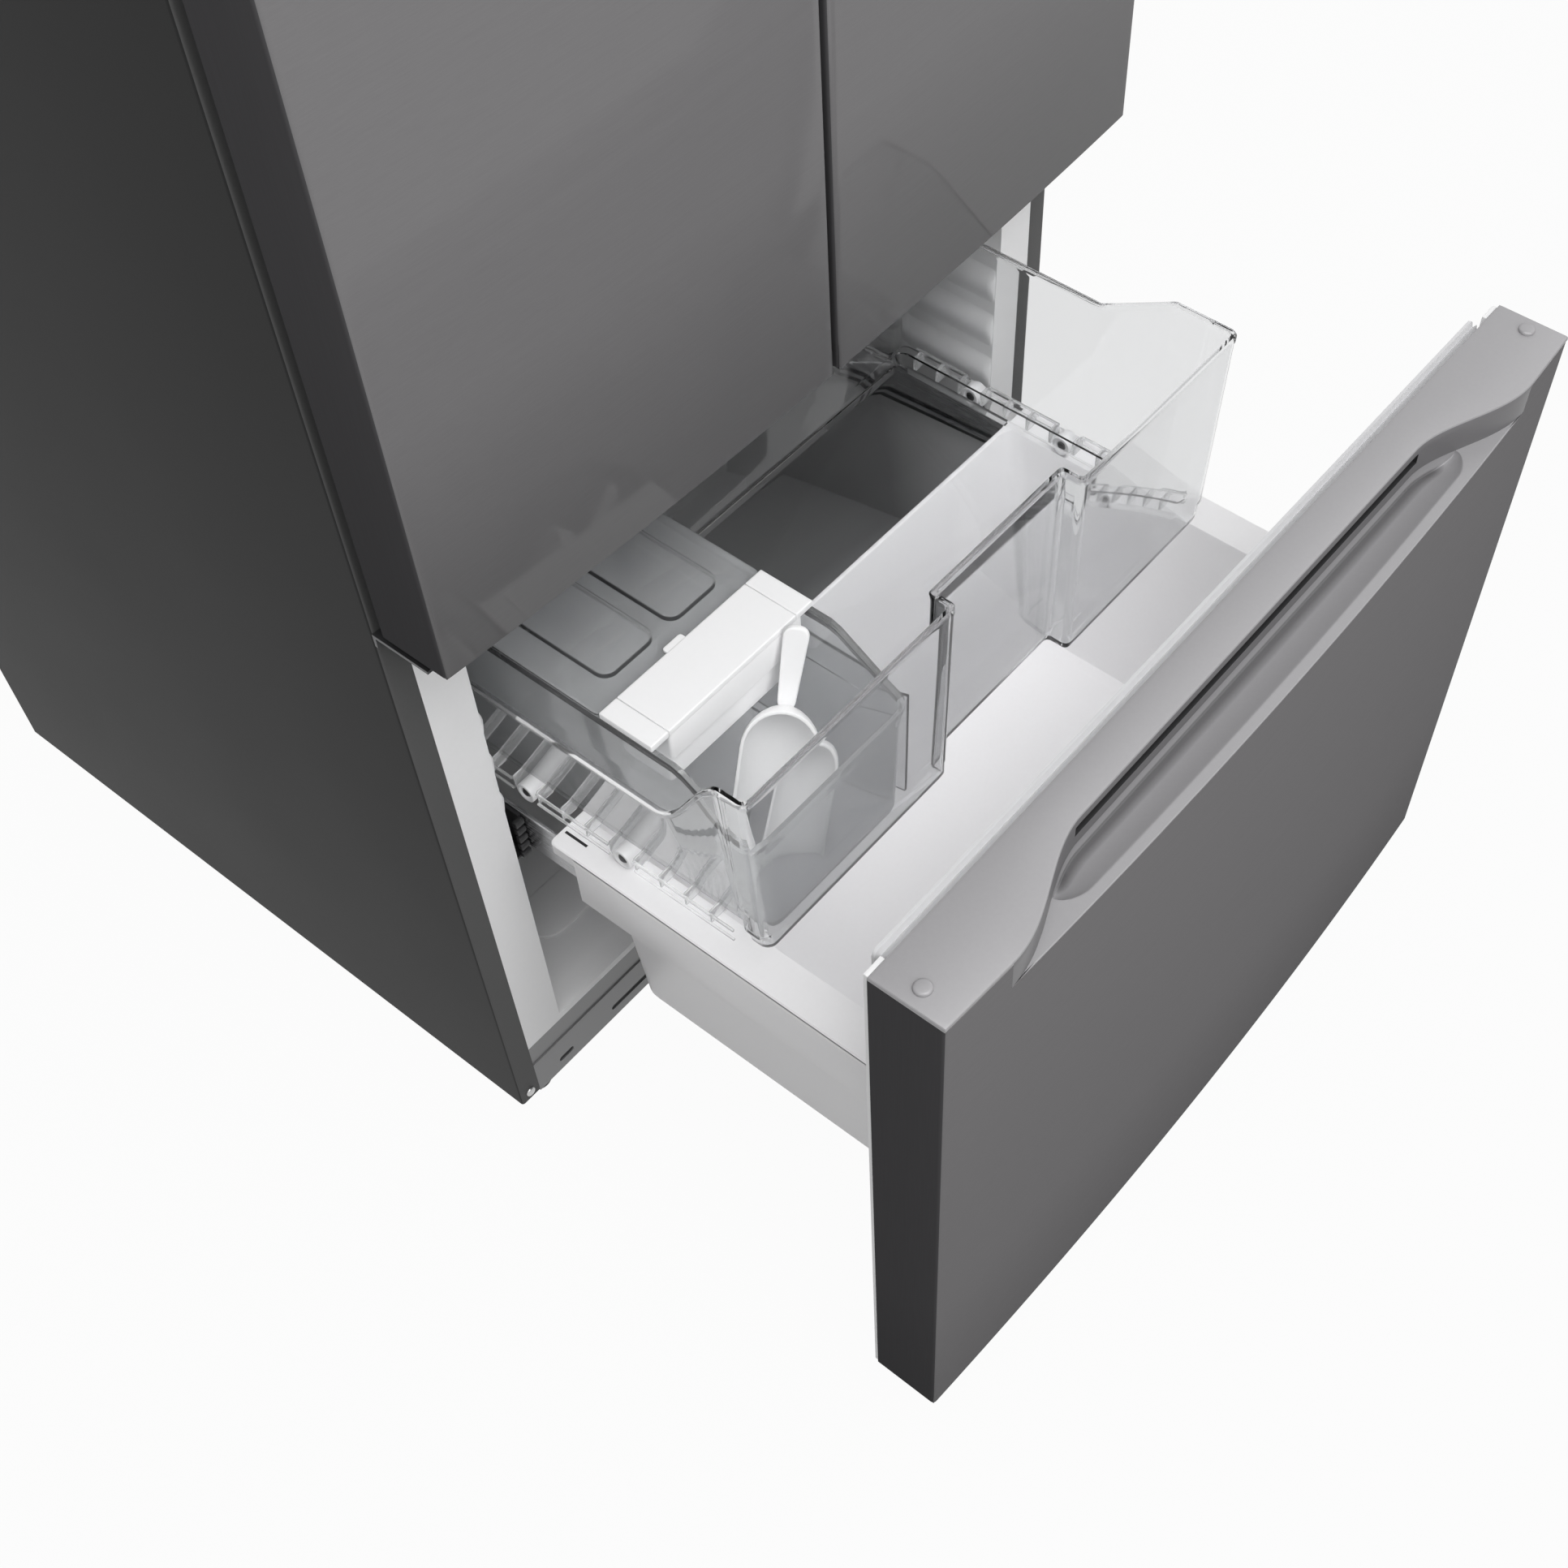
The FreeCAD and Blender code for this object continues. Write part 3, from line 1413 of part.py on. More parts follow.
scoop_round = rod("scoop_round", "Z", (ZERO, -d.scoop_half, ZERO), d.scoop_half, d.scoop_length)
scoop_room = rod(
    "scoop_room", "Z", (ZERO, -d.scoop_half, -d.scoop_gauge), d.scoop_half - d.scoop_gauge, d.scoop_length,
)
scoop_open = box(
    "scoop_open",
    (-d.scoop_half * 2, d.scoop_half * 2), (-d.scoop_half * 3, -d.scoop_depth),
    (-d.scoop_gauge, d.scoop_length + d.scoop_gauge),
)
scoop_grip = box(
    "scoop_grip",
    (-d.scoop_grip, d.scoop_grip), (-d.scoop_gauge * 2, ZERO),
    (d.scoop_length - d.scoop_gauge, d.scoop_length + d.scoop_handle),
)
scoop = fuse("scoop_form", cut("scoop_bowl", scoop_round, scoop_room, scoop_open), scoop_grip)
scoop_turns = (
    FreeCAD.Rotation(Z_AXIS, d.scoop_lean_way.value)
    * FreeCAD.Rotation(Y_AXIS, d.scoop_lean.value)
    * FreeCAD.Rotation(Z_AXIS, -d.scoop_spin.value)
)
scoop.Placement = FreeCAD.Placement(FreeCAD.Vector(), scoop_turns)
seat(scoop, -d.scoop_x, depth(-d.scoop_y), basket_top + d.ice_gauge + d.scoop_lift)
node("ice_scoop", scoop)

doc.recompute()
for item in doc.Objects:
    if "Invalid" in item.State or "Error" in item.State:
        raise RuntimeError(f"{item.Name} failed: {item.getStatusString()}")
for item in nodes:
    if item.Shape.isNull() or not item.Shape.isValid():
        raise RuntimeError(f"{item.Label} has no valid shape")

os.makedirs("parts", exist_ok=True)
for item in nodes:
    item.Shape.exportStep(f"parts/{item.Label}.step")
    print(item.Label, len(item.Shape.Solids), round(item.Shape.Volume / 1000, 1))
print("nodes", len(nodes))
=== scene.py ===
import math

import bmesh
import bpy
from mathutils import Matrix, Vector


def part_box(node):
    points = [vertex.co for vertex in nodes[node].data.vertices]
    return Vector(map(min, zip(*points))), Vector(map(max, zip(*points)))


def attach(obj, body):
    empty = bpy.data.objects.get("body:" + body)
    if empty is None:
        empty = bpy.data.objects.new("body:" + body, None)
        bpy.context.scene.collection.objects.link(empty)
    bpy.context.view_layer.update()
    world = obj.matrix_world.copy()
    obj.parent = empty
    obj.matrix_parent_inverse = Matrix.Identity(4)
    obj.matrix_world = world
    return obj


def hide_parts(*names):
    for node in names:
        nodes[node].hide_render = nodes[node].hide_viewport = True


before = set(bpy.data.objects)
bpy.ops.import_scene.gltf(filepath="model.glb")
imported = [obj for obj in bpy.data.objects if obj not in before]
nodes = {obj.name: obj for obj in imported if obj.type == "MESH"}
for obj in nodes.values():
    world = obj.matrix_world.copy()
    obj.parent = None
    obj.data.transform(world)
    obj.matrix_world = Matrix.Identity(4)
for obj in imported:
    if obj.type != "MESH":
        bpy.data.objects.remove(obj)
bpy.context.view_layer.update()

# Studio: a plain pale floor that runs out of sight, soft lamps high on both sides and an even white
# surround, seen from above the front left corner with the drawer pulled out below.
FLOOR_WIDTH = 16.0
FLOOR_COLOUR = (0.3, 0.3, 0.3, 1)
WHITE = (1, 1, 1, 1)
FLOOR_GLOW = 0.96
SURROUND_LIGHT = 0.38
SENSOR = 36
LENS = 47.03
CAMERA_PLACE = (-0.94871, -1.02931, 1.85011)
CAMERA_TURN = (35.016, -0.261, -51.865)
CAMERA_SHIFT = (-0.0848, 0.0471)
LAMPS = {
    "lamp_top": ((-0.35, -1.3, 3.3), 1.8, 48),
    "lamp_left": ((-2.6, -1.4, 3.0), 2.4, 20),
    "lamp_front": ((-0.4, -3.4, 2.6), 2.2, 40),
    "lamp_right": ((2.8, -1.2, 2.6), 2.0, 10),
    "lamp_back": ((0.6, 3.0, 3.0), 2.4, 36),
}
LAMP_AIM = Vector((0, -0.4, 0.7))


class Shade:
    """One value on its way through a finish, used in sums like a number."""

    def __init__(self, finish, socket):
        self.finish = finish
        self.socket = socket

    def join(self, operation, first, second):
        return self.finish.node("Math", {"operation": operation}, {0: first, 1: second})

    def __add__(self, other):
        return self.join("ADD", self, other)

    def __sub__(self, other):
        return self.join("SUBTRACT", self, other)

    def __rsub__(self, other):
        return self.join("SUBTRACT", other, self)

    def __mul__(self, other):
        return self.join("MULTIPLY", self, other)

    __radd__ = __add__
    __rmul__ = __mul__


class Finish:
    """A node material, with one method that adds any node to it."""

    def __init__(self, owner):
        owner.use_nodes = True
        self.owner = owner
        self.tree = owner.node_tree
        self.surface = self.tree.nodes.get("Principled BSDF")

    def feed(self, socket, value):
        if isinstance(value, Shade):
            self.tree.links.new(value.socket, socket)
        else:
            socket.default_value = value

    def into(self, **values):
        """Sends values to the sockets of the surface, whose names are written with _ for a space."""
        for name, value in values.items():
            self.feed(self.surface.inputs[name.replace("_", " ")], value)

    def node(self, kind, settings, sockets, out=0):
        made = self.tree.nodes.new("ShaderNode" + kind)
        for name, value in settings.items():
            setattr(made, name, value)
        for name, value in sockets.items():
            self.feed(made.inputs[name], value)
        return Shade(self, made.outputs[out])

    def mix(self, factor, first, second, way="MIX"):
        settings = {"data_type": "RGBA", "blend_type": way}
        return self.node("Mix", settings, {0: factor, 6: first, 7: second}, out=2)

    def seen(self):
        """1 where the camera, a mirror image or a look through glass meets the surface."""
        path = self.node("LightPath", {}, {})
        glossy = Shade(self, path.socket.node.outputs["Is Glossy Ray"])
        through = Shade(self, path.socket.node.outputs["Is Transmission Ray"])
        return self.node("Math", {"operation": "ADD", "use_clamp": True}, {0: path + glossy, 1: through})


def deselect():
    """Lets go of everything, because the next tool acts on all that is selected."""
    bpy.ops.object.select_all(action="DESELECT")


deselect()
bpy.ops.mesh.primitive_plane_add(size=FLOOR_WIDTH)
floor = bpy.context.object
floor.name = "studio_floor"
floor_look = Finish(bpy.data.materials.new("studio_white"))
matt = floor_look.node("BsdfDiffuse", {}, {"Color": FLOOR_COLOUR})
glow = floor_look.node("Emission", {}, {"Color": WHITE, "Strength": 1.0})
mixed = floor_look.node("MixShader", {}, {0: floor_look.seen() * FLOOR_GLOW, 1: matt, 2: glow})
floor_look.feed(floor_look.tree.nodes["Material Output"].inputs["Surface"], mixed)
floor.data.materials.append(floor_look.owner)

surround = Finish(bpy.data.worlds.new("studio_surround"))
bpy.context.scene.world = surround.owner
sky = surround.tree.nodes["Background"]
sky.inputs["Color"].default_value = WHITE
surround.feed(sky.inputs["Strength"], surround.seen() * (1 - SURROUND_LIGHT) + SURROUND_LIGHT)

for lamp_name, (lamp_place, lamp_size, lamp_power) in LAMPS.items():
    lamp_data = bpy.data.lights.new(lamp_name, "AREA")
    lamp_data.size = lamp_size
    lamp_data.energy = lamp_power
    lamp = bpy.data.objects.new(lamp_name, lamp_data)
    lamp.location = lamp_place
    lamp.rotation_euler = (LAMP_AIM - lamp.location).to_track_quat("-Z", "Y").to_euler()
    bpy.context.scene.collection.objects.link(lamp)

camera_data = bpy.data.cameras.new("photo_camera")
camera_data.sensor_width = SENSOR
camera_data.lens = LENS
camera_data.shift_x, camera_data.shift_y = CAMERA_SHIFT
camera = bpy.data.objects.new("photo_camera", camera_data)
camera.location = CAMERA_PLACE
camera.rotation_euler = [math.radians(angle) for angle in CAMERA_TURN]
bpy.context.scene.collection.objects.link(camera)
bpy.context.scene.camera = camera
bpy.context.scene.view_settings.view_transform = "Standard"

# Case: one folded sheet of dark painted steel round the sides and roof, with a narrow flange turned in
# round the front. The folds have a small radius and the paint a faint orange-peel skin. The flange's
# front faces are a lighter grey than the sides, painted light.
CASE_PAINT = (0.027, 0.027, 0.027)
CASE_FLANGE_LIT_PAINT = (0.095, 0.095, 0.095)
CASE_FLANGE = 0.0245
CASE_FOLD = 0.003
CASE_SHEET = 0.001
SMOOTH_ANGLE = math.radians(32)
PATCH_SCALE = 5.0
GRAIN_HEIGHT = 0.0003


def block(name, low, high):
    """A box between two corners, to be shaped further."""
    low, high = Vector(low), Vector(high)
    deselect()
    bpy.ops.mesh.primitive_cube_add(size=1, location=(low + high) / 2, scale=high - low)
    bpy.ops.object.transform_apply(location=True, rotation=True, scale=True)
    bpy.context.object.name = name
    return bpy.context.object


def pick(piece, kind, test):
    """Selects the faces, edges or points of a piece that pass a test, and stays in edit mode."""
    bpy.context.view_layer.objects.active = piece
    bpy.ops.object.mode_set(mode="EDIT")
    bpy.ops.mesh.select_mode(type=kind)
    bpy.ops.mesh.select_all(action="DESELECT")
    mesh = bmesh.from_edit_mesh(piece.data)
    for item in {"FACE": mesh.faces, "EDGE": mesh.edges, "VERT": mesh.verts}[kind]:
        item.select_set(bool(test(item)))
    mesh.select_flush_mode()
    bmesh.update_edit_mesh(piece.data)


def leave():
    bpy.ops.object.mode_set(mode="OBJECT")


def shape(piece, kind, **settings):
    """Adds a modifier to a piece and applies it."""
    change = piece.modifiers.new(kind, kind)
    for name, value in settings.items():
        setattr(change, name, value)
    bpy.context.view_layer.objects.active = piece
    bpy.ops.object.modifier_apply(modifier=change.name)


def soften(piece, width, segments=3, angle=35):
    """Rounds every sharp edge of a piece."""
    limit = math.radians(angle)
    shape(piece, "BEVEL", width=width, segments=segments, limit_method="ANGLE", angle_limit=limit)


def opaque(name, colour, roughness, grain, stretch=(1, 1, 1), tint=0.06, wander=0.08, bump=0.1, **fixed):
    """A solid finish: a fine grain in colour, gloss and height, and broad uneven patches of gloss."""
    look = Finish(bpy.data.materials.new(name))
    spot = look.node("TexCoord", {}, {}, out="Object")
    laid = look.node("Mapping", {}, {"Vector": spot, "Scale": stretch})
    fine = look.node("TexNoise", {}, {"Vector": laid, "Scale": grain, "Detail": 4.0})
    broad = look.node("TexNoise", {}, {"Vector": spot, "Scale": PATCH_SCALE, "Detail": 2.0})
    dark = tuple(part * (1 - tint) for part in colour) + (1,)
    pale = tuple(part * (1 + tint) for part in colour) + (1,)
    raised = look.node("Bump", {}, {"Strength": bump, "Distance": GRAIN_HEIGHT, "Height": fine})
    gloss = (fine + broad - 1) * wander + roughness
    look.into(Base_Color=look.mix(fine, dark, pale), Roughness=gloss, Normal=raised, **fixed)
    return look.owner


def paint(piece, looks, rule):
    """Gives a piece several finishes. The rule tells each face which of them it has, from 0 on."""
    for look in looks:
        piece.data.materials.append(look)
    for face in piece.data.polygons:
        face.material_index = int(rule(face))


def dress(piece, look, body, slot, *stands_for):
    """Gives a finished piece its finish and its place in the assembly."""
    if not piece.data.materials:
        piece.data.materials.append(look)
    deselect()
    piece.select_set(True)
    bpy.context.view_layer.objects.active = piece
    bpy.ops.object.shade_smooth_by_angle(angle=SMOOTH_ANGLE)
    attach(piece, body)
    if stands_for:
        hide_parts(*stands_for)


def coat(look, *names):
    """Puts a finish on pieces whose shape comes from the frame."""
    for name in names:
        nodes[name].data.materials.clear()
        nodes[name].data.materials.append(look)


case_look = opaque(
    "satin_case_paint", CASE_PAINT, 0.48, 420, tint=0.05, wander=0.05, bump=0.12, Specular_IOR_Level=0.08)
# The same paint in a lighter grey for the front flange, painted light.
flange_lit_look = opaque(
    "satin_flange_painted_light", CASE_FLANGE_LIT_PAINT, 0.45, 420, tint=0.05, wander=0.05, bump=0.1,
    Specular_IOR_Level=0.1)
case = block("case_wrapper", *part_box("outer_case"))
pick(case, "FACE", lambda face: face.normal.y > 0.5 or face.normal.z < -0.5)
bpy.ops.mesh.delete(type="FACE")
pick(case, "FACE", lambda face: face.normal.y < -0.5)
bpy.ops.mesh.inset(thickness=CASE_FLANGE, use_boundary=False)
bpy.ops.mesh.delete(type="FACE")
pick(case, "EDGE", lambda edge: not edge.is_boundary and edge.calc_face_angle(0) > 1)
bpy.ops.mesh.bevel(offset=CASE_FOLD, segments=4, affect="EDGES")
leave()
shape(case, "SOLIDIFY", thickness=CASE_SHEET, offset=-1)
# The flange's front faces take the lighter grey, painted light.
paint(case, (case_look, flange_lit_look), lambda face: face.normal.y < -0.7)
dress(case, case_look, "cabinet", "case_paint", "outer_case")

# Back and base: galvanised sheet at the rear, the slotted cover over the machine space and the base
# tray with its wheel brackets. The zinc shows a faint crystal pattern.
ZINC = (0.42, 0.43, 0.44)
zinc_look = opaque("zinc_sheet", ZINC, 0.45, 90, tint=0.16, wander=0.16, bump=0.05, Metallic=0.85)
coat(zinc_look, "back_panel", "rear_cover", "base_tray", "top_hinges")

# Insulation: rigid foam poured in behind the liners and inside the doors, which it glues to their
# sheets. It shows only where a panel is taken off.
FOAM = (0.78, 0.68, 0.44)
foam_look = opaque("rigid_foam", FOAM, 0.9, 260, tint=0.14, bump=0.5)
coat(foam_look, "foam_body")

# Liners: white plastic tubs, vacuum-formed, with a flat lip round each mouth. The freezer has long
# ribs along its sides, which begin at the mouth, and an oblong boss in its floor. The freezer's liner
# is a lighter white than the others, painted light, and darkens from its mouth towards the back,
# painted shade.
LINER_WHITE = (0.80, 0.80, 0.805)
FREEZER_LIT_WHITE = (0.90, 0.90, 0.905)
FREEZER_PAINTED_SHADE = (-0.095, 0.05, 0.36)
MOUTH_HALF = 0.348
RIB_LEVELS = (0.452, 0.505, 0.558)
RIB_RISE = 0.006
RIB_HALF = 0.024
RIB_LENGTH = 0.40
RIB_START = 0.0006
RIB_ROOT = 0.0004
RIB_GAUGE = 0.0006
RIB_STEPS = 6
RIB_WAVE = ((0, 0), (0.001, 0.55), (0.003, 0.85), (0.008, 1), (RIB_LENGTH - 0.03, 1), (RIB_LENGTH, 0))
BOSS = ((-0.30, -0.055, 0.1035), (-0.16, 0.0, 0.107))
BOSS_ROUND = 0.026
BOSS_EDGE = 0.0015
liner_look = opaque("liner_plastic", LINER_WHITE, 0.34, 240, tint=0.015, wander=0.06, bump=0.06)
coat(liner_look, "fridge_liner", "left_door_liner", "right_door_liner", "drawer_liner")
coat(liner_look, "evaporator_cover", "air_duct", "shelf_frames")


def fade(look, axis, start, end, share):
    """Darkens a finish along one axis, from none at the start to a share of its colour at the end."""
    finish = Finish(look)
    full = Shade(finish, finish.surface.inputs["Base Color"].links[0].from_socket)
    spot = finish.node("TexCoord", {}, {}, out="Object")
    along = finish.node("SeparateXYZ", {}, {0: spot}, out=axis)
    depth = finish.node("MapRange", {}, {0: along, 1: start, 2: end, 3: 0.0, 4: 1.0})
    finish.into(Base_Color=finish.mix(depth, full, (share, share, share, 1), "MULTIPLY"))
    return look


# The freezer liner: the same plastic in a lighter white, painted light, darkened towards the back,
# painted shade.
freezer_lit_shaded_look = opaque("freezer_plastic_painted_light_and_shade", FREEZER_LIT_WHITE, 0.34, 240, tint=0.015, wander=0.06, bump=0.06)
coat(fade(freezer_lit_shaded_look, "Y", *FREEZER_PAINTED_SHADE), "freezer_liner")


def loft(name, columns, rows, place):
    """A grid of faces whose points are each put in place by column and row."""
    deselect()
    bpy.ops.mesh.primitive_grid_add(x_subdivisions=columns, y_subdivisions=rows, size=1)
    sheet = bpy.context.object
    sheet.name = name
    for point in sheet.data.vertices:
        point.co = place(round((point.co.x + 0.5) * columns), round((point.co.y + 0.5) * rows))
    return sheet


def face_to(piece, direction):
    """Turns a thin sheet over if most of it faces away from a direction."""
    direction = Vector(direction)
    if sum(face.normal.dot(direction) * face.area for face in piece.data.polygons) < 0:
        piece.data.flip_normals()


def gather(name, pieces):
    """Joins like pieces into one."""
    deselect()
    for piece in pieces:
        piece.select_set(True)
    bpy.context.view_layer.objects.active = pieces[0]
    bpy.ops.object.join()
    pieces[0].name = name
    return pieces[0]


cabinet_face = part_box("freezer_liner")[0].y
ribs = []
for side in (-1, 1):
    for level in RIB_LEVELS:
        wave = [(cabinet_face + RIB_START + along, lift) for along, lift in RIB_WAVE]

        def rib_point(column, row):
            along, lift = wave[column]
            swell = lift * (0.5 - 0.5 * math.cos(math.pi * row / RIB_STEPS))
            wall = MOUTH_HALF * side + RIB_ROOT * side
            return (wall - RIB_RISE * side * swell, along, level + RIB_HALF * (row / RIB_STEPS - 1))

        rib = loft("liner_rib", len(wave) - 1, 2 * RIB_STEPS, rib_point)
        face_to(rib, (-side, 0, 0))
        shape(rib, "SOLIDIFY", thickness=RIB_GAUGE, offset=-1)
        ribs.append(rib)
boss = block("liner_boss", *BOSS)
pick(boss, "EDGE", lambda edge: abs((edge.verts[0].co - edge.verts[1].co).normalized().z) > 0.9)
bpy.ops.mesh.bevel(offset=BOSS_ROUND, segments=8, affect="EDGES")
leave()
soften(boss, BOSS_EDGE)
dress(gather("liner_ribs", [*ribs, boss]), freezer_lit_shaded_look, "cabinet", "liner_white")

# Front rails: painted steel strips across the cabinet, one between the compartments and one with oval
# slots under the freezer, each held by a screw through the case's flange. A black sheet behind the
# slots stands for the shade inside them, painted shadow.
RAIL_GREY = (0.20, 0.20, 0.203)
SCREW_STEEL = (0.5, 0.5, 0.5)
SLOT_SHADOW_BLACK = (0.02, 0.02, 0.02)
SCREW_RADIUS = 0.0055
SCREW_X = 0.4055
SCREW_LEVELS = (0.028, 0.726)
SCREW_SEAT = 0.0006
HEAD_HEIGHT = 0.7
HEAD_ROUND = 0.3
FACING = (math.pi / 2, 0, 0)
SLOT_SHADOW_MARGIN = 0.004
SLOT_SHADOW_FOOT = 0.008
SLOT_SHADOW_DEPTH = (0.0006, 0.0001)
rail_look = opaque("rail_paint", RAIL_GREY, 0.38, 380, tint=0.04, bump=0.08, Metallic=0.3)
coat(rail_look, "divider_rail", "base_rail")
screw_look = opaque("screw_steel", SCREW_STEEL, 0.3, 300, tint=0.1, Metallic=1.0)


def rod(name, place, radius, length, turn, points):
    """A round bar about a place, to be shaped further."""
    deselect()
    bpy.ops.mesh.primitive_cylinder_add(
        vertices=points, radius=radius, depth=length, location=place, rotation=turn)
    bpy.ops.object.transform_apply(location=True, rotation=True, scale=True)
    bpy.context.object.name = name
    return bpy.context.object


def round_head(name, place, radius, turn):
    """A low round head with a softened edge, its flat side on the panel."""
    head = rod(name, place, radius, radius * HEAD_HEIGHT, turn, 24)
    soften(head, radius * HEAD_ROUND)
    return head


screws = [
    round_head("flange_screw", (SCREW_X * side, cabinet_face - SCREW_SEAT, level), SCREW_RADIUS, FACING)
    for side in (-1, 1) for level in SCREW_LEVELS
]
dress(gather("flange_screws", screws), screw_look, "cabinet", "zinc_steel")
base_low, base_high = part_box("base_rail")
# A thin black sheet just behind the base rail, seen only through its slots: painted shadow.
slot_shadow_piece = block(
    "slot_shadow_sheet", (base_low.x + SLOT_SHADOW_MARGIN, base_high.y - SLOT_SHADOW_DEPTH[0], base_low.z + SLOT_SHADOW_FOOT),
    (base_high.x - SLOT_SHADOW_MARGIN, base_high.y - SLOT_SHADOW_DEPTH[1], base_high.z - SLOT_SHADOW_MARGIN))
dress(slot_shadow_piece, opaque("slot_painted_shadow", SLOT_SHADOW_BLACK, 0.7, 300, tint=0.1), "cabinet", "black_plastic")

# Feet and wheels: black plastic feet that screw down to level the cabinet in front, and two small
# wheels in brackets at the back. The fans, the pan, the flap and the door caps are of the same black.
FOOT_BLACK = (0.016, 0.016, 0.017)
black_look = opaque("black_plastic", FOOT_BLACK, 0.5, 320, tint=0.12, bump=0.16)
coat(black_look, "front_foot_left", "front_foot_right", "rear_wheels", "condenser_fan_frame")
coat(black_look, "condenser_fan", "evaporator_fan", "drain_pan", "mullion_flap", "drawer_bottom_cap")
coat(black_look, "left_door_caps", "right_door_caps")

# Machine space: a black welded compressor can, and the coils of the condenser and the evaporator,
# with thin aluminium fins pressed on their tubes.
CAN_ENAMEL = (0.018, 0.018, 0.02)
FIN_ALUMINIUM = (0.62, 0.63, 0.64)
can_look = opaque("compressor_enamel", CAN_ENAMEL, 0.3, 300, tint=0.1, bump=0.15)
coat(can_look, "compressor")
fin_look = opaque("fin_aluminium", FIN_ALUMINIUM, 0.38, 200, (1, 6, 6), tint=0.1, Metallic=1.0)
coat(fin_look, "condenser", "evaporator")

# Fresh-food fittings: tempered glass shelves in moulded frames, clear crispers and door bins that lift
# out by hand, and a frosted lamp lens clipped under the roof.
CLEAR_TINT = (0.84, 0.845, 0.85)
GLASS_TINT = (0.86, 0.95, 0.92)
LENS_TINT = (0.95, 0.95, 0.93)
CLEAR_INDEX = 1.46
FLOW_GLOSS = 0.04
FLOW_HEIGHT = 0.0005
CLEAR_FITTINGS = ("crisper_drawers", "left_door_bins", "right_door_bins", "basket_divider")


def clear(name, colour, roughness, grain, bump=0.02, density=0.9, through=1.0):
    """See-through plastic or glass, with faint flow marks in its gloss."""
    look = Finish(bpy.data.materials.new(name))
    spot = look.node("TexCoord", {}, {}, out="Object")
    flow = look.node("TexNoise", {}, {"Vector": spot, "Scale": grain, "Detail": 2.0})
    dark = tuple(part * density for part in colour) + (1,)
    raised = look.node("Bump", {}, {"Strength": bump, "Distance": FLOW_HEIGHT, "Height": flow})
    look.into(
        Base_Color=look.mix(flow, dark, colour + (1,)), Roughness=flow * FLOW_GLOSS + roughness,
        Normal=raised, Transmission_Weight=through, IOR=CLEAR_INDEX)
    return look.owner


clear_look = clear("clear_plastic", CLEAR_TINT, 0.02, 14, density=0.985)
coat(clear("shelf_glass_pane", GLASS_TINT, 0.01, 6), "shelf_glass")
coat(clear_look, *CLEAR_FITTINGS)
coat(clear("lamp_diffuser", LENS_TINT, 0.45, 60), "lamp_lens")
for name in (*CLEAR_FITTINGS, "shelf_glass", "lamp_lens"):
    nodes[name].visible_shadow = False

# Hinges: pressed steel plates with pins, the upper ones under moulded covers on the roof and the
# middle ones in the gap over the drawer.
HINGE_STEEL = (0.075, 0.075, 0.078)
COVER_BLACK = (0.03, 0.03, 0.031)
hinge_look = opaque("hinge_steel", HINGE_STEEL, 0.36, 220, tint=0.1, Metallic=0.7)
coat(hinge_look, "mid_hinges")
cover_look = opaque("cover_plastic", COVER_BLACK, 0.5, 320, tint=0.08, bump=0.16)
coat(cover_look, "hinge_covers")

# Doors: thin brushed steel fronts with a faint bow, folded back along both sides over a foam core and
# turned in behind it as far as the seal. The steel has a dark clear coat and a fine level grain. The
# door fronts darken towards their lower edge, painted shade, and the folded sides and turned-in
# strips are a darker grey of the same steel, painted shade.
STEEL = (0.200, 0.196, 0.200)
DOOR_STEEL = (0.178, 0.1745, 0.178)
DOOR_PAINTED_SHADE = (0.96, 0.74, 0.66)
STEEL_SIDE_SHADE = (0.076, 0.0745, 0.0775)
LEVEL_GRAIN = (0.5, 30, 40)
UPRIGHT_GRAIN = (30, 30, 0.6)
FRONT_HALF = 0.418
BOW = 0.0125
BOW_RADIUS = (FRONT_HALF ** 2 + BOW ** 2) / (2 * BOW)
PANEL_DEPTH = 0.0769
EDGE_FOLD = 0.004
FOLD_STEPS = 6
FOLD_ROOM = EDGE_FOLD * 1.75
SKIN_SHEET = 0.0009
CORE_GAP = 0.0003
UNDER_SEAL = 0.008
TURNED_EDGE = ((0, 0.0016), (0.0006, 0.0004), (0.002, 0))
DOOR_ROW = 0.3
WELD = 0.00002
STATION_START = -0.416
STATION_PITCH = 0.004
STATIONS = [STATION_START + STATION_PITCH * index for index in range(209)]
steel_look = opaque(
    "brushed_dark_steel", STEEL, 0.30, 30, LEVEL_GRAIN, tint=0.07, wander=0.07, bump=0.03,
    Specular_IOR_Level=0.0)
door_look = opaque(
    "coated_dark_steel", DOOR_STEEL, 0.30, 30, LEVEL_GRAIN, tint=0.07, wander=0.07, bump=0.02,
    Specular_IOR_Level=0.0, Coat_Weight=0.4, Coat_Roughness=0.07)
# Darker towards the bottom of each door front, painted shade.
fade(door_look, "Z", *DOOR_PAINTED_SHADE)
# The folded sides and turned-in strips: the same steel in a darker grey, painted shade.
fold_shade_look = opaque(
    "folded_steel_painted_shade", STEEL_SIDE_SHADE, 0.4, 30, UPRIGHT_GRAIN, tint=0.07, bump=0.03, Specular_IOR_Level=0.0)


def bowed(x, nose):
    """How far back the bowed front lies at one place across it."""
    return nose + BOW_RADIUS - math.sqrt(BOW_RADIUS ** 2 - x ** 2)


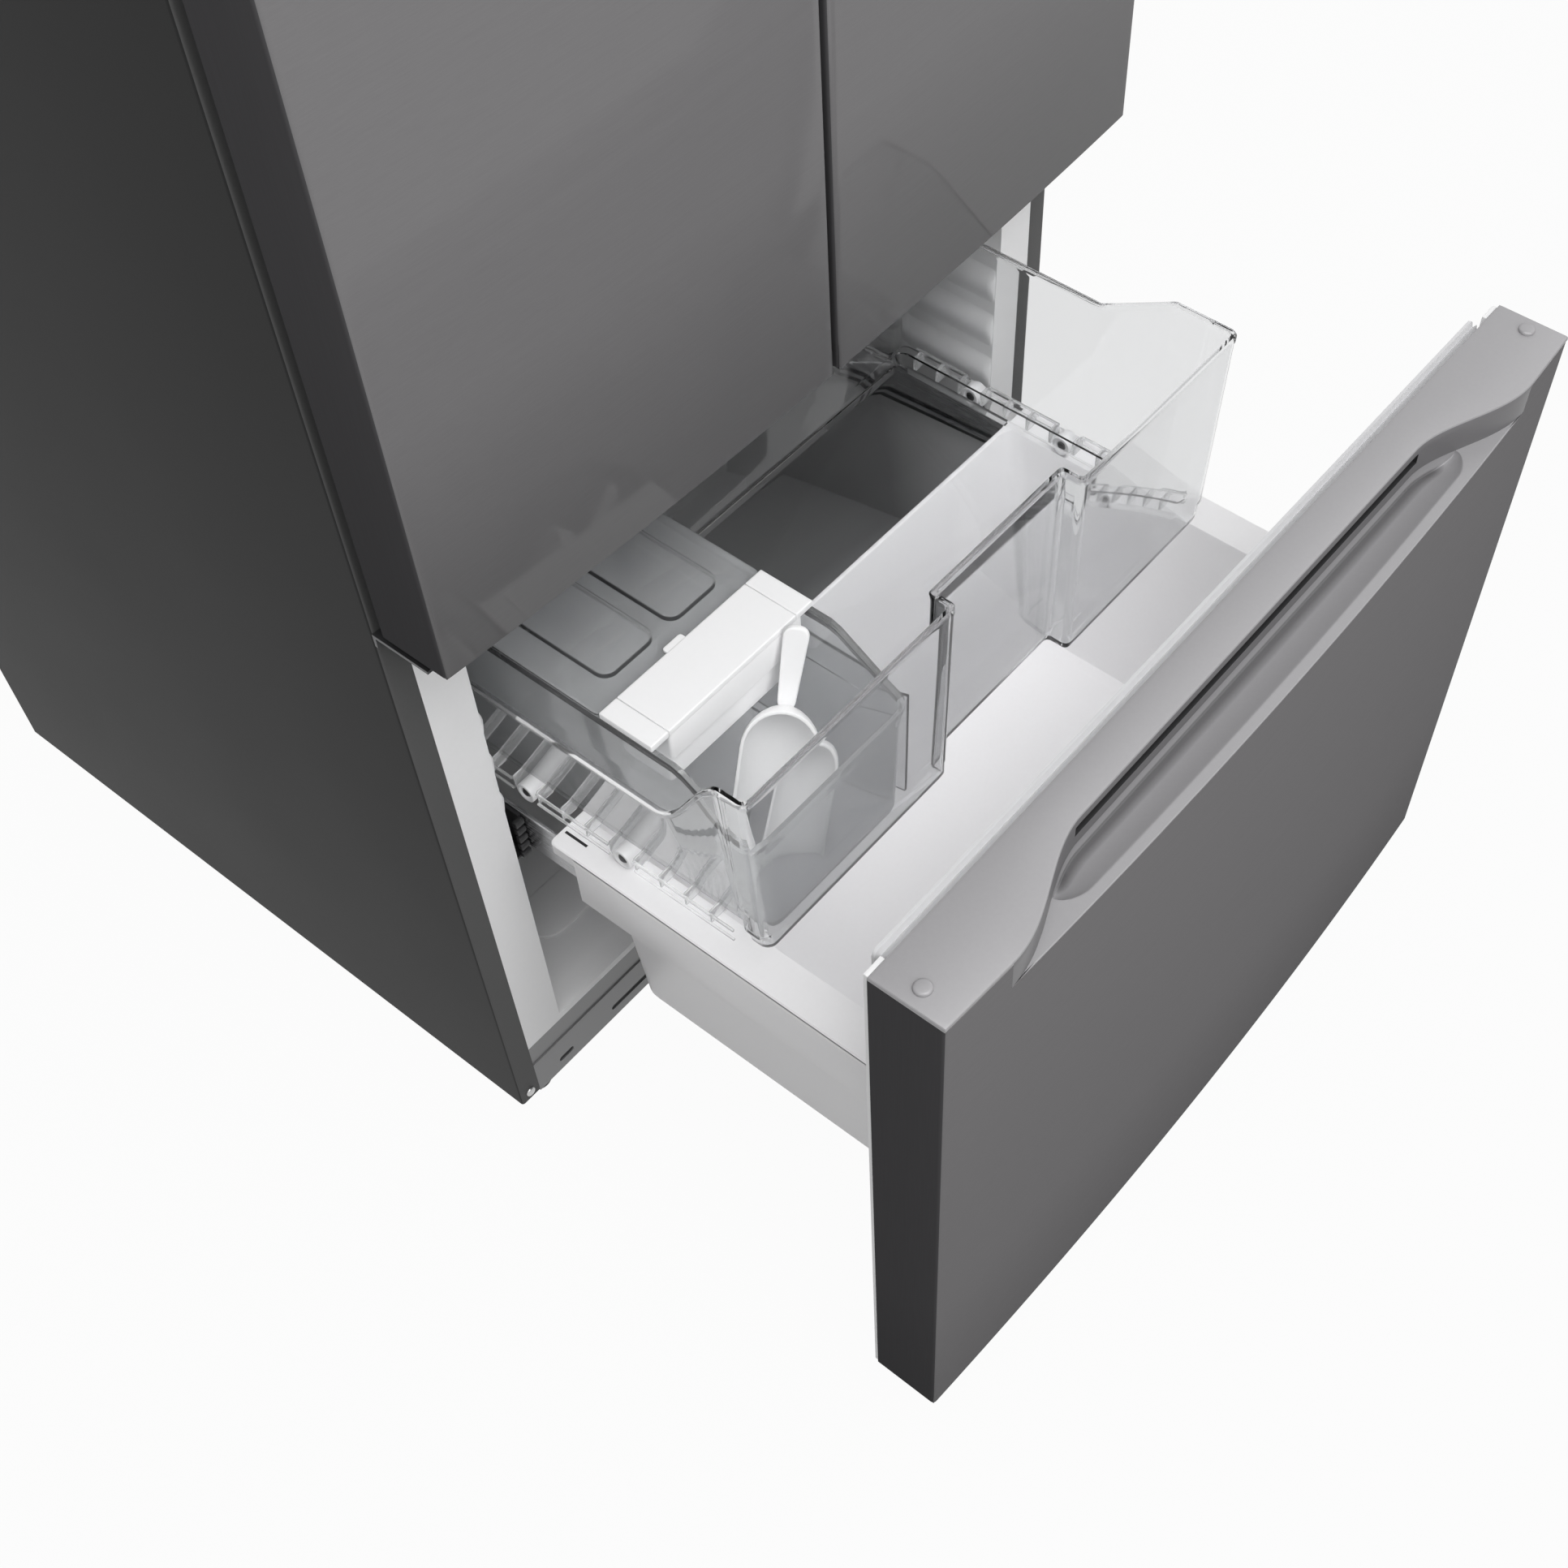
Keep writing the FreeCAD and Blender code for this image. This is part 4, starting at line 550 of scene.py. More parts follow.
def panel_line(left, right, rear, nose, stations):
    """The plan of a bowed front: back along the left side, round the corner, across, and back again."""
    flanks = []
    for side, corner in ((-1, left), (1, right)):
        middle_x = corner - EDGE_FOLD * side
        middle_y = bowed(middle_x, nose) + EDGE_FOLD
        turns = [math.pi / 2 / FOLD_STEPS * step for step in range(FOLD_STEPS + 1)]
        bend = [
            (middle_x + side * EDGE_FOLD * math.cos(turn), middle_y - EDGE_FOLD * math.sin(turn))
            for turn in turns
        ]
        flanks.append([(corner, rear), (corner, (rear + middle_y) / 2)] + bend)
    return flanks[0] + [(x, bowed(x, nose)) for x in stations] + flanks[1][::-1]


def between(x, stations):
    return [station for station in stations if x[0] + FOLD_ROOM < station < x[1] - FOLD_ROOM]


def steel_skin(name, x, rear, z_rows, stations, look):
    """A folded steel front. Each row is a height, or a rule for it, and how far it is turned in."""
    lines = [
        panel_line(x[0] + turned, x[1] - turned, rear, rear - PANEL_DEPTH + turned, between(x, stations))
        for rise, turned in z_rows
    ]

    def place(column, row):
        across, along = lines[row][column]
        rise = z_rows[row][0]
        return (across, along, rise(across) if callable(rise) else rise)

    skin = loft(name, len(lines[0]) - 1, len(z_rows) - 1, place)
    shape(skin, "SOLIDIFY", thickness=SKIN_SHEET, offset=-1)
    # Faces on the sides take the darker steel, painted shade.
    paint(skin, (look, fold_shade_look), lambda face: abs(face.normal.x) > 0.75)
    return skin


def closed(piece):
    """Joins the seams of a piece, fills its open ends and turns its faces outwards."""
    pick(piece, "VERT", lambda point: True)
    bpy.ops.mesh.remove_doubles(threshold=WELD)
    bpy.ops.mesh.select_all(action="SELECT")
    bpy.ops.mesh.fill_holes(sides=0)
    bpy.ops.mesh.select_all(action="SELECT")
    bpy.ops.mesh.normals_make_consistent(inside=False)
    leave()
    return piece


def foam_core(name, node, x, rear):
    """The foam that fills a folded front, to the inside of its sheet."""
    low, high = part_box(node)
    nose = rear - PANEL_DEPTH + SKIN_SHEET + CORE_GAP
    inner = (x[0] + SKIN_SHEET + CORE_GAP, x[1] - SKIN_SHEET - CORE_GAP)
    line = panel_line(*inner, high.y - SKIN_SHEET - CORE_GAP, nose, between(x, STATIONS))
    rows = (low.z, (low.z + high.z) / 2, high.z)
    return closed(loft(name, len(line), 2, lambda column, row: (*line[column % len(line)], rows[row])))


def turned_in(x, z, rear):
    """A strip of the sheet turned in behind the foam, as far as the seal."""
    strip = block("skin_return", (x[0], rear - SKIN_SHEET, z[0]), (x[1], rear, z[1]))
    # The turned-in strip takes the darker steel, painted shade.
    strip.data.materials.append(fold_shade_look)
    return strip


for side in ("left", "right"):
    door_low, door_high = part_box(f"{side}_door_skin")
    core_low, core_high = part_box(f"{side}_door_core")
    seal_low, seal_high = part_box(f"{side}_door_gasket")
    door_x = (door_low.x, door_high.x)
    core = foam_core(f"{side}_door_foam", f"{side}_door_core", door_x, door_high.y)
    dress(core, foam_look, f"{side}_door", "foam", f"{side}_door_core")
    rows = [(door_low.z + rise, turned) for rise, turned in TURNED_EDGE]
    rows += [(door_low.z + DOOR_ROW, 0), (door_high.z - DOOR_ROW, 0)]
    rows += [(door_high.z - rise, turned) for rise, turned in reversed(TURNED_EDGE)]
    returns = [
        turned_in(span, (core_low.z, core_high.z), door_high.y) for span in (
            (door_low.x + SKIN_SHEET, seal_low.x + UNDER_SEAL),
            (seal_high.x - UNDER_SEAL, door_high.x - SKIN_SHEET))
    ]
    skin = steel_skin(f"{side}_door_front", door_x, door_high.y, rows, STATIONS, door_look)
    skin = gather(f"{side}_door_front", [skin, *returns])
    dress(skin, door_look, f"{side}_door", "dark_stainless", f"{side}_door_skin")

# Gaskets: soft white magnetic seals in bellows form, welded at the corners and pushed into a groove
# round the back of each door and of the drawer front.
SEAL_WHITE = (0.66, 0.66, 0.67)
SEALS = {
    "left_door_gasket": "left_door", "right_door_gasket": "right_door", "drawer_gasket": "freezer_drawer",
}
SEAL_CORNER = 0.006
SEAL_LEAST = 0.001
BELLOWS = (
    (0.0030, 0.0), (0.0052, 0.25), (0.0012, 0.42), (0.0042, 0.58), (0.0002, 0.76), (0.0008, 0.96),
    (0.0022, 1.0), (0.0136, 1.0), (0.0152, 0.95), (0.0156, 0.76), (0.0118, 0.58), (0.0148, 0.42),
    (0.0108, 0.25), (0.0130, 0.0),
)
seal_look = opaque("seal_rubber", SEAL_WHITE, 0.55, 300, tint=0.04, bump=0.12)


def outline(corners, steps=6, runs=0):
    """Points round a flat outline. Each corner is given by its two coordinates and its radius."""
    arcs = []
    for index, (across, along, radius) in enumerate(corners):
        corner = Vector((across, along))
        back = (Vector(corners[index - 1][:2]) - corner).normalized()
        ahead = (Vector(corners[(index + 1) % len(corners)][:2]) - corner).normalized()
        angles = [math.pi / 2 * step / steps for step in range(steps + 1)]
        arcs.append([
            corner + radius * (back * (1 - math.sin(angle)) + ahead * (1 - math.cos(angle)))
            for angle in angles
        ])
    points = []
    for arc, following in zip(arcs, arcs[1:] + arcs[:1]):
        points += arc
        points += [arc[-1].lerp(following[0], (run + 1) / (runs + 1)) for run in range(runs)]
    return points


def rectangle(x, y, radius, runs=0):
    places = ((x[1], y[1]), (x[0], y[1]), (x[0], y[0]), (x[1], y[0]))
    return outline([(*place, radius) for place in places], runs=runs)


def hoop(name, x, z, radius, profile):
    """A closed frame in the plane of a door: each profile point is an inset and a depth."""
    loops = [
        rectangle(
            (x[0] + inset, x[1] - inset), (z[0] + inset, z[1] - inset), max(radius - inset, SEAL_LEAST))
        for inset, depth in profile
    ]
    around = len(loops[0])

    def place(column, row):
        across, up = loops[row % len(profile)][column % around]
        return (across, profile[row % len(profile)][1], up)

    return closed(loft(name, around, len(profile), place))


for node, body in SEALS.items():
    seal_low, seal_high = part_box(node)
    bellows = [(inset, seal_low.y + (seal_high.y - seal_low.y) * reach) for inset, reach in BELLOWS]
    seal = hoop(
        f"{node}_bellows", (seal_low.x, seal_high.x), (seal_low.z, seal_high.z), SEAL_CORNER, bellows)
    dress(seal, seal_look, body, "gasket_white", node)

# Drawer front: the same bowed steel, cut down in the middle of its top edge for the pocket handle, and
# filled with foam. The white edge of its inner panel shows as a thin line round its back.
POCKET_HALF = 0.350
POCKET_DROP = 0.031
POCKET_STEP = 0.0002
LID_DROP = 0.003
LIP_TUCK = 0.0015
LIP_ROW = 0.004
DRAWER_ROWS = (0.2, 0.45)
FLANGE_INSET = 0.0014
FLANGE_GAUGE = 0.0045
FLANGE_LAP = 0.001
FLANGE_ROUND = 0.0008
drawer_low, drawer_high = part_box("drawer_skin")
cap_low, cap_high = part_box("drawer_top_cap")
seal_low, seal_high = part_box("drawer_gasket")
core_low, core_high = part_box("drawer_core")
drawer_x = (drawer_low.x, drawer_high.x)
drawer_rear = drawer_high.y
pocket_ends = [POCKET_HALF * side + step for side in (-1, 1) for step in (-POCKET_STEP, POCKET_STEP)]
drawer_stations = sorted(STATIONS + pocket_ends)


def lip_height(x):
    return cap_high.z - LIP_TUCK - (POCKET_DROP if abs(x) < POCKET_HALF else LID_DROP)


def on_side(name, side, x, y, z):
    """A box on the left, -1, or the right, 1. Its x are distances from the middle."""
    near, far = sorted((x[0] * side, x[1] * side))
    return block(name, (near, y[0], z[0]), (far, y[1], z[1]))


drawer_rows = [(drawer_low.z + rise, turned) for rise, turned in TURNED_EDGE]
drawer_rows += [(drawer_low.z + rise, 0) for rise in DRAWER_ROWS]
drawer_rows += [(lambda x: lip_height(x) - LIP_ROW, 0), (lip_height, 0)]
drawer_front = steel_skin("drawer_front", drawer_x, drawer_rear, drawer_rows, drawer_stations, steel_look)
under = (seal_low.x + UNDER_SEAL, seal_high.x - UNDER_SEAL)
core_z = (core_low.z, core_high.z)
drawer_front = gather("drawer_front", [
    drawer_front,
    turned_in((drawer_low.x + SKIN_SHEET, under[0]), core_z, drawer_rear),
    turned_in((under[1], drawer_high.x - SKIN_SHEET), core_z, drawer_rear),
    turned_in(under, (core_low.z, seal_low.z + UNDER_SEAL), drawer_rear),
])
dress(drawer_front, steel_look, "freezer_drawer", "dark_stainless", "drawer_skin")
core = foam_core("drawer_foam", "drawer_core", drawer_x, drawer_rear)
dress(core, foam_look, "freezer_drawer", "foam", "drawer_core")
flange_x = (seal_high.x + CORE_GAP, drawer_high.x - FLANGE_INSET)
flange_y = (drawer_rear + CORE_GAP, drawer_rear + FLANGE_GAUGE)
flange_z = (drawer_low.z + FLANGE_INSET, cap_high.z - FLANGE_INSET * 2)
flange_parts = [on_side("liner_flange", side, flange_x, flange_y, flange_z) for side in (-1, 1)]
flange_parts.append(block(
    "liner_flange", (seal_low.x - FLANGE_LAP, flange_y[0], flange_z[0]),
    (seal_high.x + FLANGE_LAP, flange_y[1], seal_low.z - CORE_GAP)))
for part in flange_parts:
    soften(part, FLANGE_ROUND, 2)
dress(gather("drawer_liner_flange", flange_parts), liner_look, "freezer_drawer", "liner_white")

# Drawer cap: one silver-grey moulding clipped along the top edge. Its front dips in a long pocket with
# curved ends, a finger trough lies behind a ledge, and a slot runs back under the top. Two round plugs
# hide the screws at its ends. The wall behind the pocket is a darker grey and the slot black, painted
# shade, and the trough floor darkens with depth, painted shade.
CAP_GREY = (0.33, 0.325, 0.334)
WALL_SHADE_GREY = (0.15, 0.147, 0.152)
POCKET_BACK = 0.0335
CURVE_START = 0.226
LEDGE_PARTS = (0.75, 0.5, 0.25, 0.08)
TROUGH_SHADE = 0.30
TROUGH_SHADE_START = 0.0098
TROUGH_HALF = 0.276
TROUGH_ROUND = 0.024
TROUGH_STRIP = 0.0085
TROUGH_DEPTH = 0.0125
TROUGH_CURVE = (
    (0, 0), (0.04, 0.03), (0.09, 0.12), (0.3, 0.42), (0.5, 0.66), (0.7, 0.86), (0.85, 0.97), (0.95, 1),
)
SLOT_HALF = 0.232
SLOT_ROUND = 0.006
SLOT_RISE = (0.0115, 0.0212)
SLOT_REACH = 0.016
SLOT_LIP = 0.0004
SLOT_MARGIN = 0.0008
CAP_END = ((0, 0.0045), (0, 0.0012), (0.0006, 0.0003))
CAP_LAP = 0.0013
CAP_CLEAR = 0.0015
WALL_BAND = (-0.004, POCKET_DROP - 0.0012)
WALL_FOOT = -0.0012
WALL_LEAN = (-0.35, 0.5)
SLOT_CLEAR = (0.0005, 0.004)
END_STEPS = 10
PLUG_RADIUS = 0.007
PLUG_SINK = 0.0005
cap_look = opaque(
    "cap_plastic", CAP_GREY, 0.36, 300, tint=0.03, wander=0.05, bump=0.06, Metallic=0.1,
    Specular_IOR_Level=0.35)
# The wall behind the pocket in a darker grey, painted shade.
wall_shade_look = opaque(
    "cap_wall_painted_shade", WALL_SHADE_GREY, 0.4, 300, tint=0.03, wander=0.05, bump=0.06, Specular_IOR_Level=0.3)
cap_rear = cap_high.y
cap_top = cap_high.z
cap_half = cap_high.x
pocket_y = cap_rear - POCKET_BACK
pocket_floor = cap_top - POCKET_DROP
# The trough floor darkens with depth, painted shade.
fade(cap_look, "Z", pocket_floor - TROUGH_SHADE_START, pocket_floor - TROUGH_DEPTH, TROUGH_SHADE)


def part_way(value, start, end):
    """How far a value has come from one mark to another, from 0 to 1."""
    return min(max((value - start) / (end - start), 0), 1)


def ease(value, start, end):
    """The same, with a soft start and a soft end."""
    part = part_way(value, start, end)
    return part * part * (3 - 2 * part)


def round_end(span, half, radius):
    """How much of a long hollow's width is left near its rounded end, from 1 down to 0."""
    past = min(max((span - half + radius) / radius, 0), 1)
    return math.sqrt(1 - past * past)


def cap_section(x, drop):
    """The cap's cross-section at one place: lip, ledge, trough, slot, top, rear edge and underside."""
    edge = bowed(x, cap_rear - PANEL_DEPTH)
    span = abs(x)
    inside = span < POCKET_HALF
    sweep = ease(span, CURVE_START, POCKET_HALF)
    back = pocket_y * (1 - sweep) + edge * sweep if inside else edge
    ledge = cap_top - (POCKET_DROP if inside else LID_DROP)
    room = back - edge
    hollow = round_end(span, TROUGH_HALF, TROUGH_ROUND)
    width = max(room - TROUGH_STRIP, 0) * hollow
    depth = TROUGH_DEPTH * hollow
    slot = round_end(span, SLOT_HALF, SLOT_ROUND)
    slot_low, slot_high = (ledge + rise if inside else ledge for rise in SLOT_RISE)
    slot_back = back + SLOT_REACH * slot
    line = [(edge + 0.0012, ledge - 0.0040), (edge + 0.0002, ledge - 0.0008)]
    line.append((edge + min(room, 0.0010), ledge))
    line += [(back - width - (room - width) * part, ledge) for part in LEDGE_PARTS]
    line += [(back - width * (1 - reach), ledge - depth * fall) for reach, fall in TROUGH_CURVE]
    line += [
        (back - width * 0.02, ledge - depth * 0.97), (back, ledge - depth * 0.85), (back, ledge),
        (back, slot_low - SLOT_LIP * slot), (slot_back, slot_low),
        (slot_back, slot_high), (back, slot_high + SLOT_LIP * slot),
        (back, max(ledge + 0.0014, cap_top - 0.0088)), (back, cap_top - 0.0018),
        (back + 0.0006, cap_top - 0.0005), (back + 0.0020, cap_top),
        ((back + cap_rear) / 2, cap_top), (cap_rear - 0.0030, cap_top),
        (cap_rear - 0.0008, cap_top - 0.0006), (cap_rear, cap_top - 0.0025),
        (cap_rear, cap_low.z + CORE_GAP), (edge + 0.0012, cap_low.z + CORE_GAP),
    ]
    covered = cap_half - SKIN_SHEET - CORE_GAP
    tucked = max(min(x, covered), -covered)
    return [
        (x if up > cap_top - LID_DROP - CAP_LAP else tucked, along, min(up, cap_top - drop))
        for along, up in line
    ]


end_stations = [
    side * (half - radius * (1 - math.sin(math.pi / 2 * step / END_STEPS)))
    for half, radius in ((TROUGH_HALF, TROUGH_ROUND), (SLOT_HALF, SLOT_ROUND))
    for side in (-1, 1) for step in range(END_STEPS + 1)
]
cap_stations = [x for x in sorted(drawer_stations + end_stations) if abs(x) < cap_half - CAP_CLEAR]
cap_columns = [cap_section(inset - cap_half, drop) for inset, drop in CAP_END]
cap_columns += [cap_section(x, 0) for x in cap_stations]
cap_columns += [cap_section(cap_half - inset, drop) for inset, drop in reversed(CAP_END)]
turns = len(cap_columns[0])
cap = closed(loft(
    "drawer_cap", len(cap_columns) - 1, turns, lambda column, row: cap_columns[column][row % turns]))


def cap_finish(face):
    """0 for the moulding, 1 for the wall behind the pocket, in a darker grey that is painted shade,
    2 for the slot in it, in black that is painted shadow.
    """
    x, y, z = face.center
    height = z - pocket_floor
    if abs(x) >= POCKET_HALF or not WALL_BAND[0] < height < WALL_BAND[1]:
        return 0
    in_slot = SLOT_RISE[0] - SLOT_MARGIN < height < SLOT_RISE[1] + SLOT_MARGIN
    if in_slot and abs(x) < SLOT_HALF and pocket_y + SLOT_CLEAR[0] < y < cap_rear - SLOT_CLEAR[1]:
        return 2
    return height > WALL_FOOT and face.normal.y < WALL_LEAN[0] and abs(face.normal.z) < WALL_LEAN[1]


# The wall behind the pocket takes the darker grey and its slot black: painted shade.
paint(cap, (cap_look, wall_shade_look, black_look), cap_finish)
dress(cap, cap_look, "freezer_drawer", "cap_grey", "drawer_top_cap")

plug_low, plug_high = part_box("cap_plugs")
plug_place = ((plug_low.y + plug_high.y) / 2, plug_low.z + PLUG_SINK)
plugs = [
    round_head("cap_plug", ((plug_high.x - PLUG_RADIUS) * side, *plug_place), PLUG_RADIUS, (0, 0, 0))
    for side in (-1, 1)
]
dress(gather("cap_plug_pair", plugs), cap_look, "freezer_drawer", "cap_grey", "cap_plugs")

# Slides: a black fixed rail on each liner wall with a ribbed stop at its front end, a bright rolled
# channel that follows at half the way, and a steel member under the bin's rim.
SLIDE_STEEL = (0.62, 0.62, 0.63)
CHANNEL_LIP = 0.0065
CHANNEL_DEPTH = 0.004
CHANNEL_BEND = 0.001
CHANNEL_SHEET = 0.0008
STOP_FINS = 5
FIN_X = (0.0178, 0.0077)
FIN_Y = (0.005, 0.001)
FIN_START = 0.002
FIN_PITCH = 0.0108
FIN_GAUGE = 0.0068
FIN_ROUND = 0.0012
slide_look = opaque(
    "slide_steel", SLIDE_STEEL, 0.26, 40, (30, 0.6, 30), tint=0.08, wander=0.1, bump=0.03, Metallic=1.0)
coat(black_look, "slide_outer")
coat(slide_look, "slide_inner")
rail_low, rail_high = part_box("slide_outer")
fin_x = [rail_high.x - inset for inset in FIN_X]
fin_y = (rail_low.y - FIN_Y[0], rail_low.y + FIN_Y[1])
fins = []
for side in (-1, 1):
    for number in range(STOP_FINS):
        fin_z = rail_low.z + FIN_START + FIN_PITCH * number
        fins.append(on_side("stop_fin", side, fin_x, fin_y, (fin_z, fin_z + FIN_GAUGE)))
        soften(fins[-1], FIN_ROUND, 2)
dress(gather("slide_stops", fins), black_look, "cabinet", "black_plastic")
channel_low, channel_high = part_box("slide_mid")
web = channel_high.x
lip = web - CHANNEL_DEPTH
half_section = [
    (lip, CHANNEL_LIP), (lip, CHANNEL_BEND), (lip + CHANNEL_BEND, 0), (web - CHANNEL_BEND, 0),
    (web, CHANNEL_BEND),
]
section = [(x, channel_low.z + up) for x, up in half_section]
section += [(x, channel_high.z - up) for x, up in reversed(half_section)]
channels = []
for side in (-1, 1):
    channel = loft("slide_channel", 1, len(section) - 1, lambda column, row: (
        section[row][0] * side, (channel_low.y, channel_high.y)[column], section[row][1]))
    face_to(channel, (side, 0, 0))
    shape(channel, "SOLIDIFY", thickness=CHANNEL_SHEET, offset=-1)
    channels.append(channel)
dress(gather("slide_channels", channels), slide_look, "slide_mid", "zinc_steel", "slide_mid")

# Lower bin: a deep white injection-moulded tub with draft. Its wide rim turns down as a skirt over the
# slides, and a steel clip in each rear corner holds it on them, beside a slit to let it flex. Each slit
# is a black block, painted shadow.
BIN_WHITE = (0.86, 0.855, 0.865)
RIM_FACE = 0.344
RIM_INNER = 0.341
RIM_DEPTH = 0.065
TUB_TOP = 0.308
TUB_FOOT = 0.300
TUB_WALL = 0.003
BIN_EDGE = 0.0008
CLIP_EDGE = 0.0002
SKIRT_START = 0.004
SKIRT_TOP = 0.0012
CORNER_LENGTH = 0.027
CORNER_X = (0.334, RIM_FACE - 0.0014)
CORNER_Y = (0.002, 0.0012)
CORNER_Z = (0.0172, 0.002)
CLIP_X = (0.3348, 0.3422)
CLIP_Z = (0.016, 0.004)
CLIP_GAUGE = 0.0016
CLIP_BORDER = 0.0018
CLIP_SINK = 0.0010
SLIT_X = (0.3262, 0.3288)
SLIT_Y = (0.029, 0.004)
SLIT_Z = (0.001, -0.0002)
bin_look = opaque("bin_plastic", BIN_WHITE, 0.36, 260, tint=0.015, wander=0.06, bump=0.05)
bin_low, bin_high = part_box("freezer_bin")
bin_rear = bin_high.y
rim_top = bin_high.z
foot = bin_low.z
inner_top = TUB_TOP - TUB_WALL
inner_foot = TUB_FOOT - TUB_WALL


def tub(name, ring, levels):
    """A moulded shell drawn ring by ring, each at a height or on a rule for it."""
    rings = [(ring(*sizes), rise) for sizes, rise in levels]
    around = len(rings[0][0])

    def place(column, row):
        points, rise = rings[row]
        x, y = points[column % around]
        return (x, y, rise(x, y) if callable(rise) else rise)

    return closed(loft(name, around, len(rings) - 1, place))


def bin_ring(half, front, rear, radius):
    return rectangle((-half, half), (bin_low.y + front, bin_rear - rear), radius)


def below(top, drops):
    return [top - drop for drop in drops]


bin_parts = [tub("bin_tub", bin_ring, [
    ((TUB_FOOT - 0.006, 0.014, 0.036, 0.016), foot),
    ((TUB_FOOT - 0.0015, 0.0095, 0.0315, 0.018), foot + 0.0015),
    ((TUB_FOOT, 0.008, 0.030, 0.018), foot + 0.006),
    ((TUB_TOP, 0.0004, 0.0004, 0.020), rim_top - 0.0035),
    ((RIM_INNER, 0.0002, 0.0002, 0.006), rim_top - 0.0035),
    ((RIM_FACE, 0.0001, 0.0001, 0.005), rim_top - 0.0035),
    ((RIM_FACE, 0.0, 0.0, 0.005), rim_top - 0.0014),
    ((RIM_FACE - 0.0012, 0.0004, 0.0004, 0.005), rim_top - 0.0002),
    ((RIM_FACE - 0.003, 0.001, 0.001, 0.005), rim_top),
    ((inner_top + 0.003, 0.003, 0.003, 0.018), rim_top),
    ((inner_top + 0.0008, 0.0042, 0.0042, 0.018), rim_top - 0.0008),
    ((inner_top, 0.005, 0.005, 0.018), rim_top - 0.003),
    ((inner_foot, 0.012, 0.034, 0.018), foot + 0.016),
    ((inner_foot - 0.003, 0.015, 0.037, 0.020), foot + 0.008),
    ((inner_foot - 0.012, 0.024, 0.046, 0.020), foot + 0.004),
])]
clips = []
slit_shadows = []
skirt_y = (bin_low.y + SKIRT_START, bin_rear - CORNER_LENGTH)
skirt_z = (rim_top - RIM_DEPTH, rim_top - SKIRT_TOP)
corner_y = (bin_rear - CORNER_LENGTH - CORNER_Y[0], bin_rear - CORNER_Y[1])
for side in (-1, 1):
    bin_parts.append(on_side("bin_skirt", side, (RIM_INNER, RIM_FACE), skirt_y, skirt_z))
    bin_parts.append(on_side("bin_corner", side, CORNER_X, corner_y, below(rim_top, CORNER_Z)))
    clip = on_side("bin_clip", side, CLIP_X, (bin_rear - CLIP_GAUGE, bin_rear), below(rim_top, CLIP_Z))
    pick(clip, "FACE", lambda face: face.normal.y > 0.9)
    bpy.ops.mesh.inset(thickness=CLIP_BORDER)
    bpy.ops.mesh.extrude_region_move(TRANSFORM_OT_translate={"value": (0, -CLIP_SINK, 0)})
    leave()
    clips.append(clip)
    # A black block for the slit, painted shadow.
    slit_shadows.append(on_side("bin_slit", side, SLIT_X, below(bin_rear, SLIT_Y), below(rim_top, SLIT_Z)))
for piece in bin_parts[1:]:
    soften(piece, BIN_EDGE, 2)
for clip in clips:
    soften(clip, CLIP_EDGE, 2)
dress(gather("bin_tub", bin_parts), bin_look, "freezer_drawer", "liner_white", "freezer_bin")
dress(gather("bin_clips", clips), slide_look, "freezer_drawer", "zinc_steel")
dress(gather("bin_slits", slit_shadows), black_look, "freezer_drawer", "black_plastic")

# Upper basket: a clear injection-moulded tub with a rolled rim that climbs to the front, a set-back
# middle in its front wall and square front corners. Along each side a row of open cells stands out
# over the bin's rim, on which the basket rolls.
LEDGE_TINT = (0.92, 0.925, 0.93)
BASKET_FOOT = 0.305
BASKET_LEDGE = 0.313
BASKET_TOP = 0.329
BASKET_WALL = 0.003
FLARE = 0.004
RECESS = (-0.075, 0.095)
RECESS_DEPTH = 0.022
RECESS_ROUND = 0.005
TOE = (0.010, 0.013, 0.007)
TOE_LENGTH = (0.025, 0.032)
TOE_ROUND = 0.003
TOE_SHARPER = 0.004
REAR_RIM = 0.610
FRONT_RIM = 0.652
RAMP = (-0.24825, -0.32525)
LEFT_RIM = 0.570
LEFT_RAMP = (-0.29425, -0.36525)
RIM_TURN = (-0.321, -0.291)
LEDGE_Z = 0.456
FLOOR_Z = 0.435
CELL_PITCH = 0.028
CELL_WALL = 0.0022
CELL_EDGE = 0.0005
CELL_NUMBERS = range(-3, 10)
CELL_Z = (0.4375, 0.4535)
RAIL_Z = ((0.4375, 0.4397), (0.4505, 0.4535))
GRID_EDGE = 0.3248
GRID_GAP = 0.0005
GRID_ENDS = (0.034, 0.016)
ROLLER_GAP = 0.014
basket_low, basket_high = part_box("upper_basket")
inner_ledge = BASKET_LEDGE - BASKET_WALL
inner_base = BASKET_FOOT - BASKET_WALL
inner_flare = FLARE + BASKET_WALL


def basket_ring(half, inset, radius, toe=0.0):
    """One level of the basket, as wide as its side walls and wider by the toe at its front corners."""
    front, rear = basket_low.y + inset, basket_high.y - inset
    left, right = RECESS[0] - inset, RECESS[1] + inset
    wide = half + toe
    sharp = radius - TOE_SHARPER
    wide_end, narrow_start = (basket_low.y + length for length in TOE_LENGTH)
    return outline([
        (half, rear, radius), (-half, rear, radius),
        (-half, narrow_start, TOE_ROUND), (-wide, wide_end, TOE_ROUND), (-wide, front, sharp),
        (left, front, RECESS_ROUND), (left, front + RECESS_DEPTH, RECESS_ROUND),
        (right, front + RECESS_DEPTH, RECESS_ROUND), (right, front, RECESS_ROUND),
        (wide, front, sharp), (wide, wide_end, TOE_ROUND), (half, narrow_start, TOE_ROUND),
    ], runs=40)


